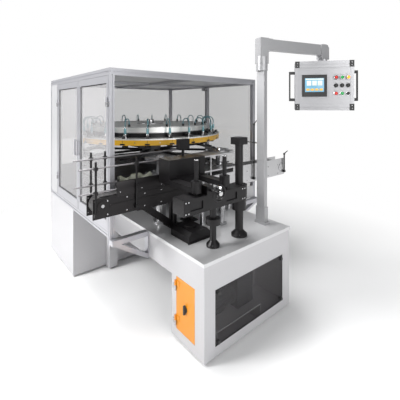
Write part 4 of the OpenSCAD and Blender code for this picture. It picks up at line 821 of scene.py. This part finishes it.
@dataclass
class ConveyorDress:
    """Slats and screws of the two conveyors, with lengths in mm."""

    slat_pitch: float = 38.0
    slat_gap: float = 3.0
    slat_thick: float = 2.4
    slat_edge: float = 0.8
    slat_lift: float = 0.2
    run_spare: float = 20.0
    belt_width: float = 82.0
    side_width: float = 130.0
    screw: Turned = Turned(6, 4, 0.8, 18)
    screw_out: float = 1.6
    screw_count: int = 6
    screw_start: float = 0.7
    screw_spare: float = 0.4
    screw_drops: Pair = (30, 128)
    belt_y: float = field(init=False)
    belt_z: float = field(init=False)

    def __post_init__(self) -> None:
        """Finds the belt's centre line and height."""
        low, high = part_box("conveyor_belts")
        self.belt_y = (low[1] + high[1]) / 2
        self.belt_z = high[2]

    def build(self) -> None:
        """Makes the pieces of the conveyors."""
        self.slats("infeed_slats", "infeed_roller", "infeed_frame", -1.0)
        self.slats("outfeed_slats", "outfeed_roller", "outfeed_frame", 1.0)
        self.side_screws()

    def slats(self, name: str, roller: str, frame_node: str, side: float) -> None:
        """Slats along the top run and round the driven end.

        Args:
            name: Name of the piece.
            roller: Node of the drive roller.
            frame_node: Node of the conveyor's frame.
            side: 1 where the roller is at the far +X end, -1 at the other.
        """
        low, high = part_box(roller)
        centre = Vector(((low[0] + high[0]) / 2, self.belt_y, (low[2] + high[2]) / 2))
        radius = self.belt_z - centre.z
        f_low, f_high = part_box(frame_node)
        length = (f_high[0] - f_low[0]) - 2 * radius - self.run_spare * MM
        pitch = self.slat_pitch * MM
        slats = Piece(name)
        size = (self.slat_pitch - self.slat_gap, self.belt_width, self.slat_thick)
        slat = Cut(size, self.slat_edge)
        for i in range(int(length / pitch)):
            x = centre.x - side * (i + 0.5) * pitch
            slats.block(Vector((x, self.belt_y, self.belt_z + self.slat_lift * MM)), slat)
        bend = int(math.pi * radius / pitch)
        for i in range(bend):
            angle = math.pi / 2 - side * (i + 0.5) * math.pi / bend
            place = centre + Vector((math.cos(angle), 0.0, math.sin(angle))) * radius
            slats.block(place, slat, Matrix.Rotation(math.pi / 2 - angle, 4, "Y"))
        slats.done(BELT, "machine")

    def side_screws(self) -> None:
        """Screw heads along both conveyors' side plates."""
        screws = Piece("conveyor_screws")
        face = self.belt_y - self.side_width * MM / 2 - self.screw_out * MM
        for node in ("infeed_frame", "outfeed_frame"):
            low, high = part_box(node)
            step = (high[0] - low[0]) / (self.screw_count + self.screw_spare)
            for i in range(self.screw_count):
                x = low[0] + (i + self.screw_start) * step
                for drop in self.screw_drops:
                    screws.rod(Vector((x, face, self.belt_z - drop * MM)), FRONT, self.screw)
        screws.done(STEEL, "machine")


@dataclass
class CabinetDress:
    """Details of the window, the cabinet behind it and the table, with places and lengths in mm."""

    window_low: Pair = (98, 82)
    window_high: Pair = (867, 466)
    seal_bar: float = 4.0
    seal_inset: float = 2.0
    seal_depth: float = 3.0
    seal_edge: float = 0.6
    seal_y: float = 1.4
    loom: Turned = Turned(5, 700, 0, 14)
    loom_at: Triple = (460, 350, 470)
    loom_step: Triple = (0, -8, 12)
    looms_level: int = 3
    riser: Turned = Turned(5, 300, 0, 14)
    riser_z: float = 330.0
    riser_x: tuple[float, ...] = (200, 212, 690, 702, 714)
    duct: Row = Row(Cut((740, 36, 46), 2), (470, 348, 560))
    relays: Row = Row(Cut((30, 70, 86), 2), (330, 322, 395), 34, 7)
    drive: Row = Row(Cut((110, 90, 150), 3), (640, 316, 400))
    relay_faces: Row = Row(Cut((22, 3, 40), 0.8), (330, 286, 400), 34, 7)
    drive_face: Row = Row(Cut((84, 3, 60), 0.8), (640, 270, 430))
    terminals: Row = Row(Cut((13, 44, 34), 1), (318, 330, 470), 15, 16)
    sheet: Row = Row(Cut((420, 3, 112), 0.8), (-120, 606, 1096))
    fold: Row = Row(Cut((420, 13, 3), 0.8), (-120, 601, 1150.5))
    sheet_screw: Turned = Turned(5, 5, 0.8, 18)
    sheet_screw_at: Triple = (-300, 604, 1072)
    sheet_screw_pitch: float = 180.0
    sheet_screws: int = 3
    pole_screw: Turned = Turned(4.5, 5, 0.8, 18)
    pole_screw_at: Triple = (847, 198, 699.5)
    pole_screw_reach: Pair = (19.8, 50)
    column_screw: Turned = Turned(4.5, 6, 0.8, 18)
    column_screw_z: float = 696.0
    column_screws: int = 4
    column_circles: tuple[Triple, Triple] = ((218, 153, 43), (507, 158, 56))

    def build(self) -> None:
        """Makes the pieces of the base."""
        self.window_seal()
        self.looms()
        self.controls()
        self.screw_cover()
        self.flange_screws()

    def window_seal(self) -> None:
        """Rubber seal round the window opening."""
        seal = Piece("window_seal")
        width, height = (high - low for low, high in zip(self.window_low, self.window_high))
        x, z = ((low + high) / 2 for low, high in zip(self.window_low, self.window_high))
        for (across, up), (wide, high) in border(width, height, self.seal_bar, self.seal_inset):
            form = Cut((wide, self.seal_depth, high), self.seal_edge)
            seal.block(spot(x + across, self.seal_y, z + up), form)
        seal.done(SEAL, "machine")

    def looms(self) -> None:
        """Cable looms and a duct on the cabinet's back wall, seen through the window."""
        loom = Piece("cable_looms")
        first = spot(*self.loom_at)
        for i in range(self.looms_level):
            loom.rod(first + mm(*self.loom_step) * i, ALONG, self.loom)
        for x in self.riser_x:
            loom.rod(spot(x, self.loom_at[1], self.riser_z), UP, self.riser)
        loom.done(BLACK_PLASTIC, "machine")
        self.rows("cable_duct", (self.duct,), PANEL_GREY, "grey_sheet")

    @staticmethod
    def rows(name: str, rows: tuple[Row, ...], finish: Finish, slot: str) -> None:
        """Makes a piece of rows of blocks.

        Args:
            name: Name of the piece.
            rows: Its rows.
            finish: Its surface finish.
            slot: Not used.
        """
        piece = Piece(name)
        for row in rows:
            for place in row.places():
                piece.block(spot(*place), row.form)
        piece.done(finish, "machine")

    def controls(self) -> None:
        """Relays, a terminal strip and a frequency drive on the cabinet's back wall."""
        self.rows("cabinet_relays", (self.relays, self.drive), BLACK_PLASTIC, "black_plastic")
        self.rows("terminal_strip", (self.terminals,), TERMINAL_GREEN, "grey_sheet")
        self.rows("relay_faces", (self.relay_faces, self.drive_face), PANEL_GREY, "grey_sheet")

    def screw_cover(self) -> None:
        """Dark guide sheet on the operator's side of the timing screw, with a folded top."""
        self.rows("screw_side_sheet", (self.sheet, self.fold), SLATE_METAL, "dark_metal")
        screws = Piece("screw_sheet_screws")
        for i in range(self.sheet_screws):
            place = spot(*self.sheet_screw_at) + mm(self.sheet_screw_pitch * i, 0, 0)
            screws.rod(place, FRONT, self.sheet_screw)
        screws.done(STEEL, "machine")

    def flange_screws(self) -> None:
        """Screws in the foot flanges of the pole and of both columns."""
        screws = Piece("flange_screws")
        across, deep = self.pole_screw_reach
        for x in (-across, across):
            for y in (-deep, deep):
                screws.rod(spot(*self.pole_screw_at) + mm(x, y, 0), UP, self.pole_screw)
        for x, y, radius in self.column_circles:
            for i in range(self.column_screws):
                angle = (i + 0.5) * math.tau / self.column_screws
                reach = mm(radius * math.cos(angle), radius * math.sin(angle), 0)
                screws.rod(spot(x, y, self.column_screw_z) + reach, UP, self.column_screw)
        screws.done(STEEL, "machine")


@dataclass
class GuardDress:
    """Gaskets and joint caps of the enclosure, with lengths in mm."""

    gasket: float = 7.0
    gasket_proud: float = 4.0
    gasket_edge: float = 0.8
    cap: Cut = Cut((36, 3.2, 54), 1)
    cap_set: Triple = (20, 1.7, 29)

    def build(self) -> None:
        """Makes the gaskets of both doors and the caps of the roof's corners."""
        for side in ("left_front", "left_rear"):
            self.door_gasket(side)
        self.roof_caps()

    def door_gasket(self, side: str) -> None:
        """Dark gasket round a door's pane.

        Args:
            side: Start of the names of the door and its pane.
        """
        low, high = (Vector(corner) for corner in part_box(f"{side}_pane"))
        size = (high - low) / MM
        seal = Piece(f"{side}_gasket")
        for (y, z), (wide, tall) in border(size.y, size.z, self.gasket, self.gasket / 2):
            form = Cut((size.x + self.gasket_proud, wide, tall), self.gasket_edge)
            seal.block((low + high) / 2 + mm(0, y, z), form)
        seal.done(SEAL, f"{side}_door")

    def roof_caps(self) -> None:
        """Plastic end caps on the ends of the roof beams."""
        low, high = (Vector(corner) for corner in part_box("enclosure_frame"))
        inset = mm(*self.cap_set)
        caps = Piece("roof_caps")
        for x in (low.x + inset.x, high.x - inset.x):
            for y in (low.y + inset.y, high.y - inset.y):
                caps.block(Vector((x, y, high.z - inset.z)), self.cap)
        caps.done(BLACK_PLASTIC, "machine")


@dataclass
class HeadDress:
    """Bright details of the guide head, its beam, its handwheel and the cross bar, in mm."""

    sleeve: Turned = Turned(10.5, 46, 3, 28)
    sleeve_y: float = 24.0
    sleeve_set: float = 7.0
    sleeve_angle: float = 120.0
    hub_cap: Turned = Turned(17, 8, 3, 28)
    hub_cap_y: float = 39.0
    head_screw: Turned = Turned(5, 5, 0.8, 18)
    head_screw_first: float = 30.0
    head_screw_pitch: float = 70.0
    head_screw_drop: float = 140.5
    head_screw_sets: Pair = (14, 44)
    head_screw_count: int = 5
    beam_screw: Turned = Turned(6, 5, 0.8, 20)
    beam_screw_x: tuple[float, ...] = (-84, -60, 470, 494)
    beam_screw_y: float = 88.5
    beam_screw_z: Pair = (992, 1068)
    rod_cap: Turned = Turned(17.5, 8, 2, 32)
    rod_cap_x: Pair = (57.8, 337)
    rod_cap_y: float = 152.5
    rod_cap_drop: float = 4.0
    bar_sleeve: Turned = Turned(7.5, 150, 2, 28)
    bar_sleeve_at: Triple = (1226, 575, 1320)
    wheel: Vector = field(init=False)
    rim: float = field(init=False)

    def __post_init__(self) -> None:
        """Finds the handwheel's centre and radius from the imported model."""
        low, high = (Vector(corner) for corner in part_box("handwheel"))
        self.rim = (high.z - low.z) / 2
        self.wheel = Vector(((low.x + high.x) / 2, 0.0, (low.z + high.z) / 2))

    def build(self) -> None:
        """Makes the pieces of the guide head and its surroundings."""
        self.crank()
        self.head_screws()
        self.beam_screws()
        self.rod_caps()
        self.bar_sleeves()

    def crank(self) -> None:
        """Chromed sleeve of the crank and the cap on the wheel's hub."""
        bright = Piece("crank_sleeve")
        hub = self.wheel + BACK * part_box("handwheel")[0][1]
        angle = math.radians(self.sleeve_angle)
        reach = self.rim - self.sleeve_set * MM
        at = hub + Vector((math.cos(angle), 0.0, math.sin(angle))) * reach
        bright.rod(at + mm(0, self.sleeve_y, 0), FRONT, self.sleeve)
        bright.rod(hub + mm(0, self.hub_cap_y, 0), FRONT, self.hub_cap)
        bright.done(CHROME, "handwheel")

    def head_screws(self) -> None:
        """Two rows of socket screws on top of the guide head's plate."""
        low, high = (Vector(corner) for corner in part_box("guide_head"))
        screws = Piece("guide_head_screws")
        first = Vector((low.x, high.y, high.z - self.head_screw_drop * MM))
        for i in range(self.head_screw_count):
            for inset in self.head_screw_sets:
                x = self.head_screw_first + self.head_screw_pitch * i
                screws.rod(first + mm(x, -inset, 0), UP, self.head_screw)
        screws.done(STEEL, "guide_head")

    def beam_screws(self) -> None:
        """Screws on the cross beam's front."""
        screws = Piece("beam_screws")
        for x in self.beam_screw_x:
            for z in self.beam_screw_z:
                screws.rod(spot(x, self.beam_screw_y, z), FRONT, self.beam_screw)
        screws.done(STEEL, "machine")

    def rod_caps(self) -> None:
        """Bright nuts on the cross beam's two guide rods."""
        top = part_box("cross_beam")[1][2] - self.rod_cap_drop * MM
        caps = Piece("guide_rod_caps")
        for x in self.rod_cap_x:
            caps.rod(spot(x, self.rod_cap_y, 0) + UP * top, UP, self.rod_cap)
        caps.done(CHROME, "machine")

    def bar_sleeves(self) -> None:
        """Bright sleeve on the cross bar over the outfeed."""
        sleeve = Piece("cross_bar_sleeve")
        sleeve.rod(spot(*self.bar_sleeve_at), BACK, self.bar_sleeve)
        sleeve.done(CHROME, "machine")


@dataclass(frozen=True)
class Lamp:
    """A square area lamp, with its place, aim and side in metres and its power in watts."""

    name: str
    at: Triple
    aim: Triple
    side: float
    power: float

    def build(self) -> None:
        """Puts the lamp in the scene, unseen by the camera."""
        data = bpy.data.lights.new(self.name, "AREA")
        data.size = self.side
        data.energy = self.power
        made = bpy.data.objects.new(self.name, data)
        made.location = self.at
        ray = Vector(self.aim) - Vector(self.at)
        made.rotation_euler = ray.to_track_quat("-Z", "Y").to_euler()
        made.visible_camera = False
        bpy.context.scene.collection.objects.link(made)


@dataclass
class Studio:
    """Floor, backdrop, lamps and camera, in metres except for the camera's place and lens."""

    camera_at: Triple = (-1294.7, -1490.7, 1710.1)
    camera_yaw: float = -40.16
    lens: float = 27.173
    sensor: float = 36.0
    shift: float = -0.2351
    soft_colour: Triple = (0.96, 0.98, 1.0)
    soft_strength: float = 0.20
    floor_half: float = 14.0
    floor_drop: float = 0.0005
    floor_colour: Triple = (0.93, 0.93, 0.93)
    floor_rough: float = 0.9
    floor_specular: float = 0.1
    fade_from: float = 1.6
    fade_to: float = 3.4
    key: Lamp = Lamp("key_light", (-4.6, 1.2, 3.8), (0.0, 0.0, 0.6), 1.6, 265.0)
    fill: Lamp = Lamp("fill_light", (-0.6, -4.8, 2.6), (0.0, 0.0, 0.8), 3.0, 95.0)
    guard: Lamp = Lamp("guard_light", (-0.1, 0.6, 1.98), (-0.1, 0.6, 0.0), 1.2, 24.0)
    top: Lamp = Lamp("top_light", (-0.4, 0.6, 4.6), (0.0, 0.2, 0.0), 2.4, 250.0)

    def build(self) -> None:
        """Makes the studio, with its key lamp from the left and one lamp inside the guard."""
        self.camera()
        self.world()
        self.floor()
        for lamp in (self.key, self.fill, self.guard, self.top):
            lamp.build()

    def camera(self) -> None:
        """Level camera at eye height, shifted down as the photograph's frame is."""
        data = bpy.data.cameras.new("eye_level_camera")
        data.lens = self.lens
        data.sensor_width = self.sensor
        data.sensor_height = self.sensor
        data.shift_y = self.shift
        made = bpy.data.objects.new("eye_level_camera", data)
        made.location = spot(*self.camera_at)
        made.rotation_euler = (math.radians(90.0), 0.0, math.radians(self.camera_yaw))
        bpy.context.scene.collection.objects.link(made)
        bpy.context.scene.camera = made

    def world(self) -> None:
        """Plain grey light, white where the camera or a ray through a pane sees it."""
        world = bpy.data.worlds.new("studio_world")
        bpy.context.scene.world = world
        world.use_nodes = True
        tree = world.node_tree
        tree.nodes.clear()
        soft = {"Color": (*self.soft_colour, 1.0), "Strength": self.soft_strength}
        sight = {
            "Fac": self.seen_by(tree, "Is Transmission Ray"),
            1: add(tree, "Background", "Background", soft),
            2: add(tree, "Background", "Background", {"Color": (1.0, 1.0, 1.0, 1.0)}),
        }
        output = tree.nodes.new("ShaderNodeOutputWorld")
        feed(tree, output, {"Surface": add(tree, "MixShader", "Shader", sight)})

    def floor(self) -> None:
        """Pale floor that keeps the machine's shadow."""
        bed = bmesh.new()
        bmesh.ops.create_grid(bed, x_segments=1, y_segments=1, size=self.floor_half)
        data = bpy.data.meshes.new("studio_floor")
        bed.to_mesh(data)
        bed.free()
        made = bpy.data.objects.new("studio_floor", data)
        made.location = (0.0, 0.0, -self.floor_drop)
        bpy.context.scene.collection.objects.link(made)
        material = bpy.data.materials.new("studio_floor_white")
        material.use_nodes = True
        self.fade(material.node_tree)
        data.materials.append(material)

    def fade(self, tree: Tree) -> None:
        """Sets the floor's finish, going over to white far out for the camera and mirrors.

        Args:
            tree: Node tree of the floor's material.
        """
        shader = tree.nodes["Principled BSDF"]
        feed(tree, shader, {
            "Base Color": (*self.floor_colour, 1.0),
            "Roughness": self.floor_rough,
            "Specular IOR Level": self.floor_specular,
        })
        place = add(tree, "NewGeometry", "Position", {})
        distance = add(tree, "VectorMath", "Value", {0: place}, operation="LENGTH")
        reach = {"From Min": self.fade_from, "From Max": self.fade_to, "Value": distance}
        far = add(tree, "MapRange", "Result", reach, interpolation_type="SMOOTHSTEP")
        seen = self.seen_by(tree, "Is Glossy Ray", "Is Transmission Ray")
        sight = {
            "Fac": add(tree, "Math", "Value", {0: seen, 1: far}, operation="MULTIPLY"),
            1: shader.outputs["BSDF"],
            2: add(tree, "Emission", "Emission", {"Strength": 1.0}),
        }
        mix = add(tree, "MixShader", "Shader", sight)
        feed(tree, tree.nodes["Material Output"], {"Surface": mix})

    @staticmethod
    def seen_by(tree: Tree, *kinds: str) -> Socket:
        """Tells camera rays and the given kinds of ray from all others.

        Args:
            tree: The node tree.
            kinds: Outputs of the light path that count besides the camera's.

        Returns:
            A socket that is 1 for those rays.
        """
        path = tree.nodes.new("ShaderNodeLightPath")
        seen = path.outputs["Is Camera Ray"]
        for kind in kinds:
            either = {0: seen, 1: path.outputs[kind]}
            seen = add(tree, "Math", "Value", either, operation="MAXIMUM")
        return seen


def dress_nodes() -> None:
    """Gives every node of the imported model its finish."""
    finishes = {name: finish for finish, names in FINISH_NODES.items() for name in names}
    for name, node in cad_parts.items():
        material = finishes[name].build()
        node.data.materials.clear()
        node.data.materials.append(material)
        LOG.info("%s: %s", name, material.name)


def main() -> None:
    """Builds the whole scene."""
    logging.basicConfig(level=logging.INFO, format="%(message)s")
    scene = bpy.context.scene
    scene.view_settings.view_transform = "Standard"
    dress_nodes()
    for kind in (
        Studio, ControlPanel, TurretDress, ConveyorDress, CabinetDress, GuardDress, HeadDress,
    ):
        kind().build()
        LOG.info("%s built", kind.__name__)


if __name__ == "__main__":
    main()
